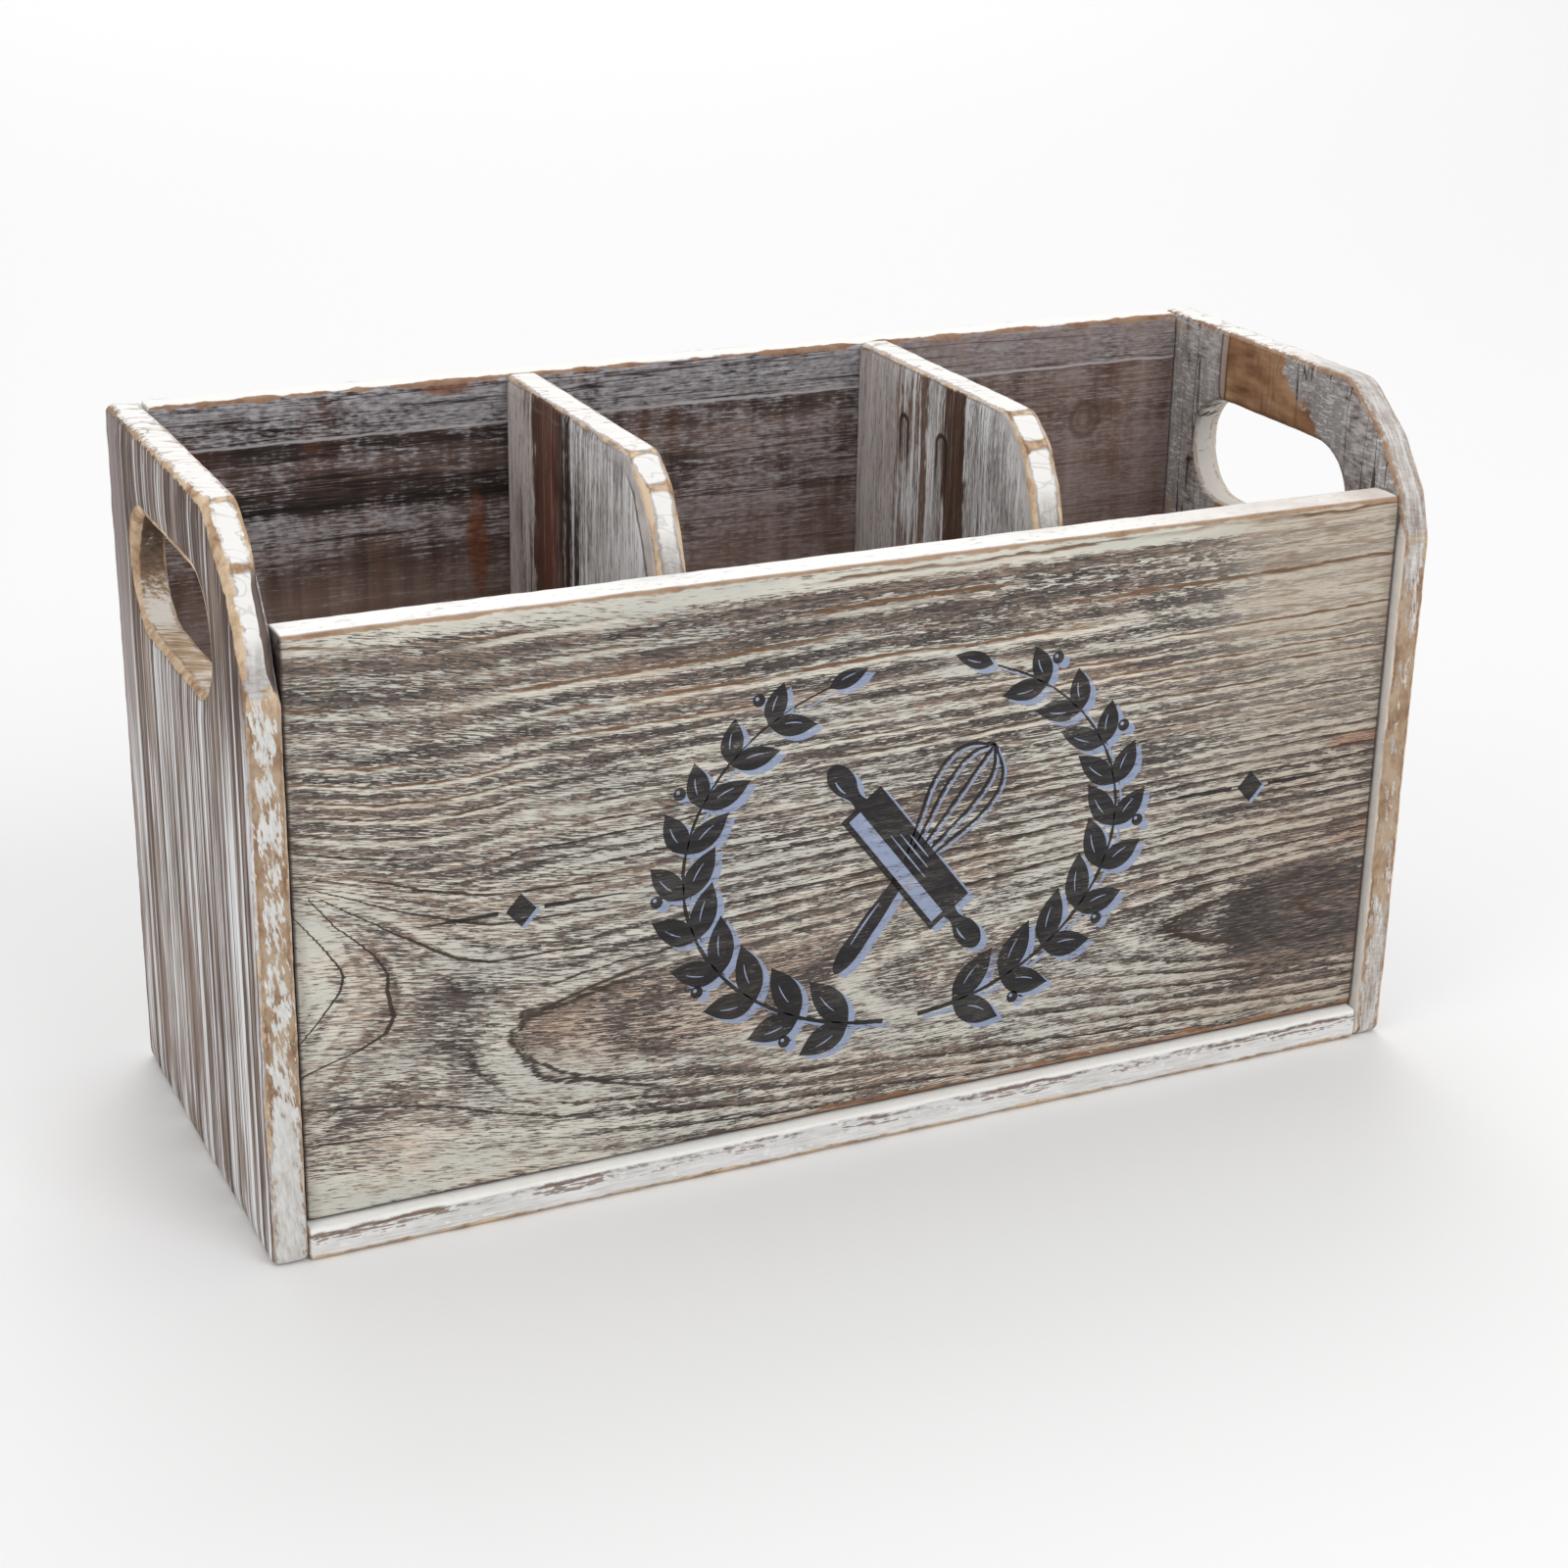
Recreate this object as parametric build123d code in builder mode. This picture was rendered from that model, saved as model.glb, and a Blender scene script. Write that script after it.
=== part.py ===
# A three-bay utensil caddy of thin boards: two end boards with hand holes, a tall back, a lower
# front, a bottom board and two dividers, all glued and pinned with wire brads.
# Millimetres. +X is to the right, the front faces -Y and +Z is up. The origin is the middle of
# the footprint, on the surface that the caddy stands on.
import os

from build123d import *

# Outer sizes
length = 330.0
depth = 127.0
height = 188.0

# Boards
end_thickness = 9.5
back_thickness = 9.5
front_thickness = 11.0
bottom_thickness = 9.5
divider_thickness = 9.5
front_height = 152.5  # of the front board, which stands on the bottom board
front_recess = 3.0  # from the end boards' front edges back to the front board's face
front_end_gap = 0.25  # between each end of the front board and the end board beside it
bay_count = 3

# Sanded corners: each facet runs forward and down from the one before, in that order
end_facets = ((16.0, 12.3), (10.0, 13.2), (4.0, 12.5))
divider_facets = ((9.0, 7.0), (5.5, 10.5), (4.0, 12.5))
facet_round = 9.0  # where two facets meet
corner_round = 3.0  # the end boards' three square corners

# Hand hole in each end board: a slot whose two ends are half round
hand_hole_length = 76.0
hand_hole_height = 30.0
hand_hole_below_top = 21.0  # from the top edge down to the hole
hand_hole_from_back = 22.0  # from the back edge forward to the hole

# Rounding of the boards' edges
end_outer_arris = 2.0
end_inner_arris = 1.3
front_arris = 1.0
back_arris = 1.2
bottom_arris = 1.2
divider_arris = 1.3

# Brads: flat-headed rectangular wire, sunk under a skin of filler
brad_length = 25.0
brad_wire_width = 1.25
brad_wire_depth = 1.0
brad_head_width = 2.0
brad_head_thickness = 0.6
brad_sink = 0.6  # from the board's face down to the head
brad_margin = 20.0  # from a board's edge to the first brad in a row
bottom_end_brad_count = 3  # from each end board into the bottom board
front_end_brad_count = 3  # from each end board into the front board
back_end_brad_count = 4  # from each end board into the back board
divider_back_brad_count = 3  # from the back board into each divider
divider_bottom_brad_count = 2  # up from the bottom board into each divider
long_joint_brad_count = 4  # up from the bottom board into the front board, and into the back board

# Places that follow from the sizes
front_edge = -depth / 2
back_edge = depth / 2
inner_length = length - 2 * end_thickness
front_face = front_edge + front_recess
bay_front = front_face + front_thickness
bay_back = back_edge - back_thickness
bay_floor = bottom_thickness
front_top = bay_floor + front_height
bay_width = (inner_length - (bay_count - 1) * divider_thickness) / bay_count
divider_x = (bay_width + divider_thickness) / 2
front_middle = (front_face + bay_front) / 2
back_middle = (bay_back + back_edge) / 2


def worn_corner(front, top, facets):
    """The points of a corner cut back by facets, from the top edge down to the front edge."""
    y = front + sum(forward for forward, down in facets)
    z = top
    points = [(y, z)]
    for forward, down in facets:
        y -= forward
        z -= down
        points.append((y, z))
    return points


def row(start, end, count):
    """Evenly spaced places from start to end, each kept one margin inside."""
    first = start + brad_margin
    last = end - brad_margin
    return [first + (last - first) * i / (count - 1) for i in range(count)]


def drive_brads(face, places):
    """Adds a brad at each place on a face plane whose normal points into the wood."""
    with BuildSketch(face.offset(brad_sink)) as heads:
        with Locations(*places):
            Rectangle(brad_head_width, brad_wire_depth)
    extrude(heads.sketch, amount=brad_head_thickness)
    with BuildSketch(face.offset(brad_sink)) as shanks:
        with Locations(*places):
            Rectangle(brad_wire_width, brad_wire_depth)
    extrude(shanks.sketch, amount=brad_length)


# Brads through the left end board, into the edges of the bottom, front and back boards
left_outer_face = Plane(origin=(-length / 2, 0, 0), x_dir=(0, 1, 0), z_dir=(1, 0, 0))
end_brad_places = (
    [(y, bottom_thickness / 2) for y in row(front_edge, back_edge, bottom_end_brad_count)]
    + [(front_middle, z) for z in row(bay_floor, front_top, front_end_brad_count)]
    + [(back_middle, z) for z in row(bay_floor, height, back_end_brad_count)]
)
with BuildPart() as left_end_brads:
    drive_brads(left_outer_face, end_brad_places)

with BuildPart() as right_end_brads:
    mirror(left_end_brads.part, about=Plane.YZ)

# Brads through the back board into the dividers' rear edges
rear_face = Plane(origin=(0, back_edge, 0), x_dir=(1, 0, 0), z_dir=(0, -1, 0))
up_divider = row(bay_floor, height, divider_back_brad_count)
with BuildPart() as back_brads:
    drive_brads(rear_face, [(x, z) for x in (-divider_x, divider_x) for z in up_divider])

# Brads up through the bottom board into the dividers, the front board and the back board
under_divider = row(bay_front, bay_back, divider_bottom_brad_count)
along_bottom = row(-inner_length / 2, inner_length / 2, long_joint_brad_count)
bottom_brad_places = (
    [(x, y) for x in (-divider_x, divider_x) for y in under_divider]
    + [(x, front_middle) for x in along_bottom]
    + [(x, back_middle) for x in along_bottom]
)
with BuildPart() as bottom_brads:
    drive_brads(Plane.XY, bottom_brad_places)

# End boards: full height, with a worn front corner and a hand hole
hole_y = back_edge - hand_hole_from_back - hand_hole_length / 2
hole_z = height - hand_hole_below_top - hand_hole_height / 2
end_corner = worn_corner(front_edge, height, end_facets)
with BuildPart() as left_end:
    with BuildSketch(Plane.YZ.offset(-length / 2)):
        with BuildLine():
            FilletPolyline(
                (front_edge, 0),
                (back_edge, 0),
                (back_edge, height),
                *end_corner,
                radius=[corner_round] * 3 + [facet_round] * len(end_corner),
                close=True,
            )
        make_face()
        with Locations((hole_y, hole_z)):
            SlotOverall(hand_hole_length, hand_hole_height, mode=Mode.SUBTRACT)
    extrude(amount=end_thickness)
    fillet(faces().sort_by(Axis.X)[0].edges(), end_outer_arris)
    fillet(faces().sort_by(Axis.X)[-1].edges(), end_inner_arris)
    add(left_end_brads.part, mode=Mode.SUBTRACT)

with BuildPart() as right_end:
    mirror(left_end.part, about=Plane.YZ)

# Bottom board: between the end boards, under everything else
with BuildPart() as bottom_board:
    with BuildSketch():
        Rectangle(inner_length, depth)
    extrude(amount=bottom_thickness)
    fillet(faces().sort_by(Axis.Y)[0].edges().filter_by(Axis.X), bottom_arris)
    fillet(faces().sort_by(Axis.Z)[0].edges().filter_by(Axis.X).sort_by(Axis.Y)[-1], bottom_arris)
    for brads in (left_end_brads, right_end_brads, bottom_brads):
        add(brads.part, mode=Mode.SUBTRACT)

# Front board: lower than the rest and set back from the end boards' edges
with BuildPart() as front_board:
    with BuildSketch(Plane.XY.offset(bay_floor)):
        with Locations((0, front_middle)):
            Rectangle(inner_length - 2 * front_end_gap, front_thickness)
    extrude(amount=front_height)
    fillet(edges(), front_arris)
    for brads in (left_end_brads, right_end_brads, bottom_brads):
        add(brads.part, mode=Mode.SUBTRACT)

# Back board: as tall as the end boards
with BuildPart() as back_board:
    with BuildSketch(Plane.XY.offset(bay_floor)):
        with Locations((0, back_middle)):
            Rectangle(inner_length, back_thickness)
    extrude(amount=height - bay_floor)
    fillet(faces().sort_by(Axis.Z)[-1].edges().filter_by(Axis.X), back_arris)
    for brads in (left_end_brads, right_end_brads, back_brads, bottom_brads):
        add(brads.part, mode=Mode.SUBTRACT)

# Dividers: from the front board to the back board, with their own worn corner above the front


def is_free(edge):
    """Whether an edge of a divider is clear of the bottom and back boards."""
    return edge.center().Z > bay_floor and edge.center().Y < bay_back


divider_corner = worn_corner(bay_front, height, divider_facets)
with BuildPart() as left_divider:
    with BuildSketch(Plane.YZ.offset(-divider_x - divider_thickness / 2)):
        with BuildLine():
            FilletPolyline(
                (bay_front, bay_floor),
                (bay_back, bay_floor),
                (bay_back, height),
                *divider_corner,
                radius=[0, 0, 0] + [facet_round] * len(divider_corner),
                close=True,
            )
        make_face()
    extrude(amount=divider_thickness)
    for side in (0, -1):
        fillet(faces().sort_by(Axis.X)[side].edges().filter_by(is_free), divider_arris)
    for brads in (back_brads, bottom_brads):
        add(brads.part, mode=Mode.SUBTRACT)

with BuildPart() as right_divider:
    mirror(left_divider.part, about=Plane.YZ)

pieces = {
    "left_end": left_end,
    "right_end": right_end,
    "bottom_board": bottom_board,
    "front_board": front_board,
    "back_board": back_board,
    "left_divider": left_divider,
    "right_divider": right_divider,
    "left_end_brads": left_end_brads,
    "right_end_brads": right_end_brads,
    "back_brads": back_brads,
    "bottom_brads": bottom_brads,
}
os.makedirs("parts", exist_ok=True)
for name, piece in pieces.items():
    piece.part.label = name
    export_step(piece.part, f"parts/{name}.step")
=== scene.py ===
# %% [markdown]
# # A whitewashed caddy for kitchen utensils
# The real object is a box of thin softwood boards: two ends with hand holes, a tall back, a lower
# front, a bottom and two dividers. Its boards were scorched, brushed with thin white paint and
# sanded along their edges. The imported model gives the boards' sizes and places. This lesson makes
# each board again as a worn mesh, and then works out its grain, wash and wear in shader nodes.

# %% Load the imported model
import math
from contextlib import contextmanager

import bmesh
import bpy
import numpy as np
from mathutils import Euler, Matrix, Vector


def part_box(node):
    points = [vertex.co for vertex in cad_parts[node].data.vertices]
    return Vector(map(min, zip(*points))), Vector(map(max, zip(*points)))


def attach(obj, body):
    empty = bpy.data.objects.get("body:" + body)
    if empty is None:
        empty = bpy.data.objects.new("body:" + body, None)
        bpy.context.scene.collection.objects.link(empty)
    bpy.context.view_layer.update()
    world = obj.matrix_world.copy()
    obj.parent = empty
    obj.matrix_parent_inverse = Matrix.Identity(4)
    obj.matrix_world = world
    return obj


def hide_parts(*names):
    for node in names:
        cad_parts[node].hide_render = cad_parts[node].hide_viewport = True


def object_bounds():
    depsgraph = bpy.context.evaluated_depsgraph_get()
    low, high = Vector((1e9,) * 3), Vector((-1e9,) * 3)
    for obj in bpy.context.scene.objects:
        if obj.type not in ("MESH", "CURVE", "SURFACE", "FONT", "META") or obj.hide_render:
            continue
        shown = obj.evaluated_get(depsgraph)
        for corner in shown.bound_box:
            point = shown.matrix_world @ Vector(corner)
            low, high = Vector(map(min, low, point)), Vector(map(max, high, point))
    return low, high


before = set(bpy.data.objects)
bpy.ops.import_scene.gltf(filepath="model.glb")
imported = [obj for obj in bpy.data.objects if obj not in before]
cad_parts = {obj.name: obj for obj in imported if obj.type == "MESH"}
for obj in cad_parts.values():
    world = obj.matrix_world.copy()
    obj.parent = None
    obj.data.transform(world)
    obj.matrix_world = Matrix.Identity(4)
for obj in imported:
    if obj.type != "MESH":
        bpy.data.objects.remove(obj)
cad_low, cad_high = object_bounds()
mm = 0.001
print("boards and brads:", sorted(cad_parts))

# %% [markdown]
# ## Camera
# The camera stands where the photographer's did. Its place, turn, tilt and roll were solved from the
# corners of the box, and a square picture on a 36 mm sensor gives the lens.

# %% Camera
camera_place = Vector((-319.1, -668.7, 375.1)) * mm
camera_turn = math.radians(25.618)
camera_tilt = math.radians(21.726)
camera_roll = math.radians(1.085)

camera = bpy.data.objects.new("camera", bpy.data.cameras.new("camera"))
bpy.context.scene.collection.objects.link(camera)
camera.data.sensor_width = 36.0
camera.data.lens = 66.317
looking = Euler((math.pi / 2 - camera_tilt, 0, -camera_turn)).to_matrix()
camera.rotation_euler = (looking @ Matrix.Rotation(camera_roll, 3, "Z")).to_euler()
camera.location = camera_place
bpy.context.scene.camera = camera
print("camera at", tuple(round(c, 4) for c in camera.location))

# %% [markdown]
# ## Studio
# The photograph was taken in soft light on a white sweep. A pale floor, a white sky and two large
# soft lamps give that, and the Standard view keeps the whites white.

# %% Floor, sky and lamps
def deselect():
    bpy.ops.object.select_all(action="DESELECT")


def soft_lamp(name, place, size, power):
    """A round soft lamp that points at the middle of the caddy."""
    deselect()
    bpy.ops.object.light_add(type="AREA", location=place)
    lamp = bpy.context.object
    lamp.name = name
    lamp.data.shape = "DISK"
    lamp.data.size = size
    lamp.data.energy = power
    middle = (cad_low + cad_high) / 2
    lamp.rotation_euler = (middle - lamp.location).to_track_quat("-Z", "Y").to_euler()
    return lamp


soft_lamp("front_lamp", (0.5, -1.6, 1.5), 1.2, 12.0)
soft_lamp("left_lamp", (-1.6, -0.6, 1.4), 1.2, 5.0)
soft_lamp("top_lamp", (0.1, 0.3, 2.0), 1.6, 7.0)
soft_lamp("backdrop_lamp", (1.0, 3.0, 3.0), 3.0, 60.0).rotation_euler = (0, 0, 0)

deselect()
bpy.ops.mesh.primitive_plane_add(size=12.0)
floor = bpy.context.object
floor.name = "floor"

sky = bpy.data.worlds.new("sky")
sky.use_nodes = True
sky.node_tree.nodes["Background"].inputs["Color"].default_value = (1.0, 1.0, 1.0, 1.0)
sky.node_tree.nodes["Background"].inputs["Strength"].default_value = 0.55
bpy.context.scene.world = sky
bpy.context.scene.view_settings.view_transform = "Standard"

# %% [markdown]
# ## Shader maths
# A Signal wraps one socket and turns Python arithmetic into Math nodes. A Finish is one material: its
# node method adds any node, with its settings first and then the values or links of its sockets.

# %% Signals
class Signal:
    """A socket in a finish's node tree, with arithmetic on it."""

    def __init__(self, finish, socket):
        self.finish = finish
        self.socket = socket

    def math(self, operation, *values):
        settings = {"operation": operation}
        return self.finish.node("ShaderNodeMath", settings, dict(enumerate(values)))

    __add__ = __radd__ = lambda self, other: self.math("ADD", self, other)
    __mul__ = __rmul__ = lambda self, other: self.math("MULTIPLY", self, other)
    __sub__ = lambda self, other: self.math("SUBTRACT", self, other)
    __rsub__ = lambda self, other: self.math("SUBTRACT", other, self)
    __truediv__ = lambda self, other: self.math("DIVIDE", self, other)
    __pow__ = lambda self, other: self.math("POWER", self, other)
    __abs__ = lambda self: self.math("ABSOLUTE", self)

    def part(self):
        """What is left over a whole number, 0 to 1."""
        return self.math("FRACT", self)

    def rise(self, low, high):
        """0 below low and 1 above high, with a smooth step between."""
        settings = {"interpolation_type": "SMOOTHSTEP"}
        values = {"Value": self, "From Min": low, "From Max": high}
        return self.finish.node("ShaderNodeMapRange", settings, values)

    def fall(self, low, high):
        """1 below low and 0 above high, with a smooth step between."""
        return 1 - self.rise(low, high)

    def past(self, soft=0.25):
        """0 below nought and 1 above it, with a smooth step this wide each way."""
        return self.rise(-soft, soft)


# %% Finishes
def colour(*shade):
    """A linear colour from a chart's red, green and blue, or from one grey, 0 to 1.

    Four numbers are linear already and pass as they are.
    """
    if len(shade) == 1:
        return (*shade * 3, 1.0)
    if len(shade) == 4:
        return shade
    chart = (value / 255 for value in shade)
    return (*((v / 12.92 if v < 0.04045 else ((v + 0.055) / 1.055) ** 2.4) for v in chart), 1.0)


class Finish:
    """A material, its nodes, its Principled shader and the place of a point in millimetres."""

    def __init__(self, name, roughness=0.7):
        self.material = bpy.data.materials.new(name)
        self.material.use_nodes = True
        self.tree = self.material.node_tree
        self.shader = self.tree.nodes["Principled BSDF"]
        self.shader.inputs["Roughness"].default_value = roughness
        self.shader.inputs["Specular IOR Level"].default_value = 0.3
        metres = self.node("ShaderNodeTexCoord", output="Object")
        self.place = self.vector("MULTIPLY", metres, (1000, 1000, 1000))
        self.x = self.node("ShaderNodeSeparateXYZ", values={0: self.place}, output="X")
        self.y = Signal(self, self.x.socket.node.outputs["Y"])
        self.z = Signal(self, self.x.socket.node.outputs["Z"])
        self.axes = self.x, self.y, self.z

    def node(self, kind, settings=None, values=None, output=0):
        """Adds any node, with its settings, its ramp's stops and its sockets' values or links."""
        made = self.tree.nodes.new(kind)
        for name, setting in (settings or {}).items():
            if name == "stops":
                self.set_stops(made.color_ramp, setting)
            else:
                setattr(made, name, setting)
        for key, value in (values or {}).items():
            self.feed(made.inputs[key], value)
        return Signal(self, made.outputs[output])

    def set_stops(self, ramp, stops):
        while len(ramp.elements) < len(stops):
            ramp.elements.new(1.0)
        for element, (position, *shade) in zip(ramp.elements, stops):
            element.position = position
            element.color = colour(*shade)

    def feed(self, socket, value):
        if isinstance(value, Signal):
            self.tree.links.new(value.socket, socket)
        else:
            socket.default_value = value

    def point(self, *coordinates):
        return self.node("ShaderNodeCombineXYZ", values=dict(enumerate(coordinates)))

    def vector(self, operation, *values):
        settings = {"operation": operation}
        return self.node("ShaderNodeVectorMath", settings, dict(enumerate(values)))

    def cloud(self, row, seed, at=None):
        """Soft noise about 0, from -1 to 1. Its row holds its lumps' sizes along X, Y and Z, its detail
        and, if that isn't a half, its roughness."""
        sizes, (detail, roughness) = row[:3], (*row[3:], 0.5)[:2]
        scale = tuple(1 / size for size in sizes)
        shift = (17.3 * seed, 9.1 * seed, 5.7 * seed)
        spread = self.vector("MULTIPLY_ADD", at or self.place, scale, shift)
        values = {"Vector": spread, "Scale": 1.0, "Detail": detail, "Roughness": roughness}
        noise = self.node("ShaderNodeTexNoise", values=values)
        return (noise - 0.5) * 2

    def clouds(self, seed, *rows, at=None):
        """One noise for each row, each with a seed of its own from this one on."""
        return [self.cloud(row, seed + index, at) for index, row in enumerate(rows)]

    def ramp(self, value, *stops):
        """A colour that runs through the stops as the value goes from 0 to 1."""
        return self.node("ShaderNodeValToRGB", {"stops": stops}, {"Fac": value})

    def mix(self, share, *ends):
        """The first colour where share is 0 and the second where it is 1."""
        start, end = (shade if isinstance(shade, Signal) else colour(*shade) for shade in ends)
        values = {0: share, 6: start, 7: end}
        return self.node("ShaderNodeMix", {"data_type": "RGBA"}, values, output=2)

    def coats(self, skin, *coats):
        """A colour under coats, each with its share and its own colour."""
        for share, shade in coats:
            skin = self.mix(share, skin, shade)
        return skin

    def blend(self, share, start, end):
        """The number start where share is 0 and end where it is 1."""
        return self.node("ShaderNodeMix", {"data_type": "FLOAT"}, {0: share, 2: start, 3: end})

    def show(self, skin, height_mm, strength):
        """The finish's colour, and light bent as if the surface stood this many millimetres higher."""
        values = {"Height": height_mm, "Distance": mm, "Strength": strength}
        self.feed(self.shader.inputs["Base Color"], skin)
        self.feed(self.shader.inputs["Normal"], self.node("ShaderNodeBump", values=values))

    def dress(self, piece):
        piece.data.materials.clear()
        piece.data.materials.append(self.material)


floor_finish = Finish("floor_paper", roughness=0.9)
floor_finish.shader.inputs["Base Color"].default_value = colour(246, 246, 246)
floor_finish.dress(floor)
print("shader tools ready")

# %% [markdown]
# ## Making a board
# A board starts as a cube brought to its size. Corners are cut off with bisect, edges are rounded
# with bevel, and a hand hole is cut with a Boolean. Then a voxel remesh spreads even faces over it,
# so that Displace modifiers can wear its arrises unevenly, and only ever inwards.

# %% Blocks, cuts and rounded edges
sharp_angle = 0.15  # radians between two faces


def block(name, low, high):
    """A cube brought to a box's two corners, with its place in its mesh."""
    deselect()
    bpy.ops.mesh.primitive_cube_add(size=1, location=(low + high) / 2)
    piece = bpy.context.object
    piece.name = name
    piece.scale = high - low
    bpy.ops.object.transform_apply(location=True, rotation=True, scale=True)
    return piece


@contextmanager
def edit_mode(action):
    """Edit mode on the active piece, with its mesh selected or deselected."""
    bpy.ops.object.mode_set(mode="EDIT")
    bpy.ops.mesh.select_all(action=action)
    yield
    bpy.ops.object.mode_set(mode="OBJECT")


def bisect(point, normal):
    """Cuts away what lies past a plane, and closes the cut."""
    with edit_mode("SELECT"):
        bpy.ops.mesh.bisect(plane_co=point, plane_no=normal, use_fill=True, clear_outer=True)


def round_edges(piece, wanted, radius, segments):
    """Bevels the sharp edges that wanted(middle, direction) picks."""
    with edit_mode("DESELECT"):
        bpy.ops.mesh.select_mode(type="EDGE")
        mesh = bmesh.from_edit_mesh(piece.data)
        for edge in mesh.edges:
            start, end = (vertex.co for vertex in edge.verts)
            sharp = edge.calc_face_angle(0.0) > sharp_angle
            edge.select_set(sharp and wanted((start + end) / 2, (end - start).normalized()))
        bmesh.update_edit_mesh(piece.data)
        bpy.ops.mesh.bevel(offset=radius, segments=segments, affect="EDGES")


def pick(piece):
    deselect()
    piece.select_set(True)
    bpy.context.view_layer.objects.active = piece


def apply_modifier(piece, kind, **settings):
    pick(piece)
    modifier = piece.modifiers.new(kind.lower(), kind)
    for name, value in settings.items():
        setattr(modifier, name, value)
    bpy.ops.object.modifier_apply(modifier=modifier.name)


# %% Wear that only ever takes wood away
wear_reach = 7.0


def lumps(name, size):
    texture = bpy.data.textures.new(name, "CLOUDS")
    texture.noise_scale = size * mm
    texture.contrast = 1.4
    return texture


def places(piece):
    """The vertices' x, y and z in millimetres, as three rows of numbers."""
    flat = np.empty(len(piece.data.vertices) * 3)
    piece.data.vertices.foreach_get("co", flat)
    return flat.reshape(-1, 3).T / mm


def weigh(piece, name, weight):
    """A group of vertices that holds each one's weight, 0 to 1."""
    group = piece.vertex_groups.new(name=name)
    for index in np.flatnonzero(weight):
        group.add([int(index)], float(weight[index]), "REPLACE")
    return group.name


def wear(piece, arris_distance, voxel, depth):
    """Spreads even faces over a board, then rubs it unevenly within reach of its arrises."""
    apply_modifier(piece, "REMESH", mode="VOXEL", voxel_size=voxel * mm)
    distance = arris_distance(*places(piece))
    rubbed = weigh(piece, "rubbed", np.clip(1 - distance / wear_reach, 0.0, 1.0))
    for name, size, share in (("long_wear", 22.0, 1.0), ("short_wear", 5.0, 0.6)):
        apply_modifier(
            piece,
            "DISPLACE",
            texture=lumps(name, size),
            strength=depth * share * mm,
            mid_level=1.0,
            vertex_group=rubbed,
        )
    bpy.ops.object.shade_smooth_by_angle(angle=math.radians(40))
    print(piece.name, "has", len(piece.data.polygons), "faces")


def rub_away(piece, nearness, depth):
    """Rubs wood off a place: nearness(x, y, z) is 1 where it loses this depth, and 0 away from it."""
    rubbed = weigh(piece, "rubbed_away", np.clip(nearness(*places(piece)), 0.0, 1.0))
    apply_modifier(piece, "DISPLACE", strength=-depth * mm, mid_level=0.0, vertex_group=rubbed)


def board_for(piece, node):
    """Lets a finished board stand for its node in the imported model."""
    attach(piece, "root")
    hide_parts(node)


# %% [markdown]
# ## Where a point lies in its board
# A finish has to know how deep a point lies under each face of its board, because an arris is where
# two of these depths are both small. The functions below take and give millimetres. They are written
# with arithmetic alone, so they work on the vertices' numbers and on a shader's sockets.

# %% The smaller and the larger of some values
def either(operation, on_numbers, first, second):
    signal = next((value for value in (first, second) if isinstance(value, Signal)), None)
    return signal.math(operation, first, second) if signal else on_numbers(first, second)


def least(first, *others):
    for other in others:
        first = either("MINIMUM", np.minimum, first, other)
    return first


def most(first, *others):
    for other in others:
        first = either("MAXIMUM", np.maximum, first, other)
    return first


# %% Outlines of the ends and dividers
half_length = 165.0
half_inside = 155.5
half_depth = 63.5
height = 188.0
bay_floor = 9.5
bay_front = -49.5
bay_back = 54.0
end_facets = ((16.0, 12.3), (10.0, 13.2), (4.0, 12.5))
divider_facets = ((9.0, 7.0), (5.5, 10.5), (4.0, 12.5))
facet_round = 9.0
corner_round = 3.0
hole_centre = (3.5, 152.0)
hole_straight = 23.0  # from the hole's centre to the centre of each half-round end
hole_round = 15.0


def worn_corner(front, facets):
    """The points of a corner cut back by facets, from the top edge down to the front edge."""
    points = [(front + sum(forward for forward, down in facets), height)]
    for forward, down in facets:
        points.append((points[-1][0] - forward, points[-1][1] - down))
    return points


def past_facet(y, z, start, end):
    """How far a point lies outside the facet that runs forward and down from start to end."""
    forward, down = start[0] - end[0], start[1] - end[1]
    return ((z - start[1]) * forward - (y - start[0]) * down) / math.hypot(forward, down)


def under_edges(y, z, corner):
    """The depth of a point under the top edge, the front edge and the facets between them."""
    outside = most(z - height, corner[-1][0] - y)
    for start, end in zip(corner, corner[1:]):
        outside = most(outside, past_facet(y, z, start, end))
    return 0 - outside


def under_hole(y, z):
    """The depth of a point in the wood around the hand hole, from the hole's wall."""
    along = most(abs(y - hole_centre[0]) - hole_straight, 0.0)
    return (along ** 2 + (z - hole_centre[1]) ** 2) ** 0.5 - hole_round


def gap_to_points(y, z, points):
    """The distance to the nearest of the lines along X through these (y, z) points."""
    return least(*(((y - py) ** 2 + (z - pz) ** 2) ** 0.5 for py, pz in points))


end_corner = worn_corner(-half_depth, end_facets)
divider_corner = worn_corner(bay_front, divider_facets)
print("an end's worn corner:", end_corner)

# %% [markdown]
# ## The two ends
# Each end is one board, cut from a plank with its grain upright. Its top front corner was sawn off in
# three flats, its hand hole was cut with a router, and its outer arrises were sanded harder than its
# inner ones. One crisp end is modelled, and a mirrored copy becomes the other before either is worn.

# %% Facets and corners
def lies_on(places_yz):
    """Picks the edges along X at these (y, z) places."""
    def wanted(at, direction):
        near = any(math.dist((at.y / mm, at.z / mm), place) < 0.1 for place in places_yz)
        return near and abs(direction.x) > 0.9
    return wanted


def in_plane(x):
    """Picks the edges that lie in a board's face at this x."""
    return lambda at, direction: abs(at.x / mm - x) < 0.01 and abs(direction.x) < 0.1


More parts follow.
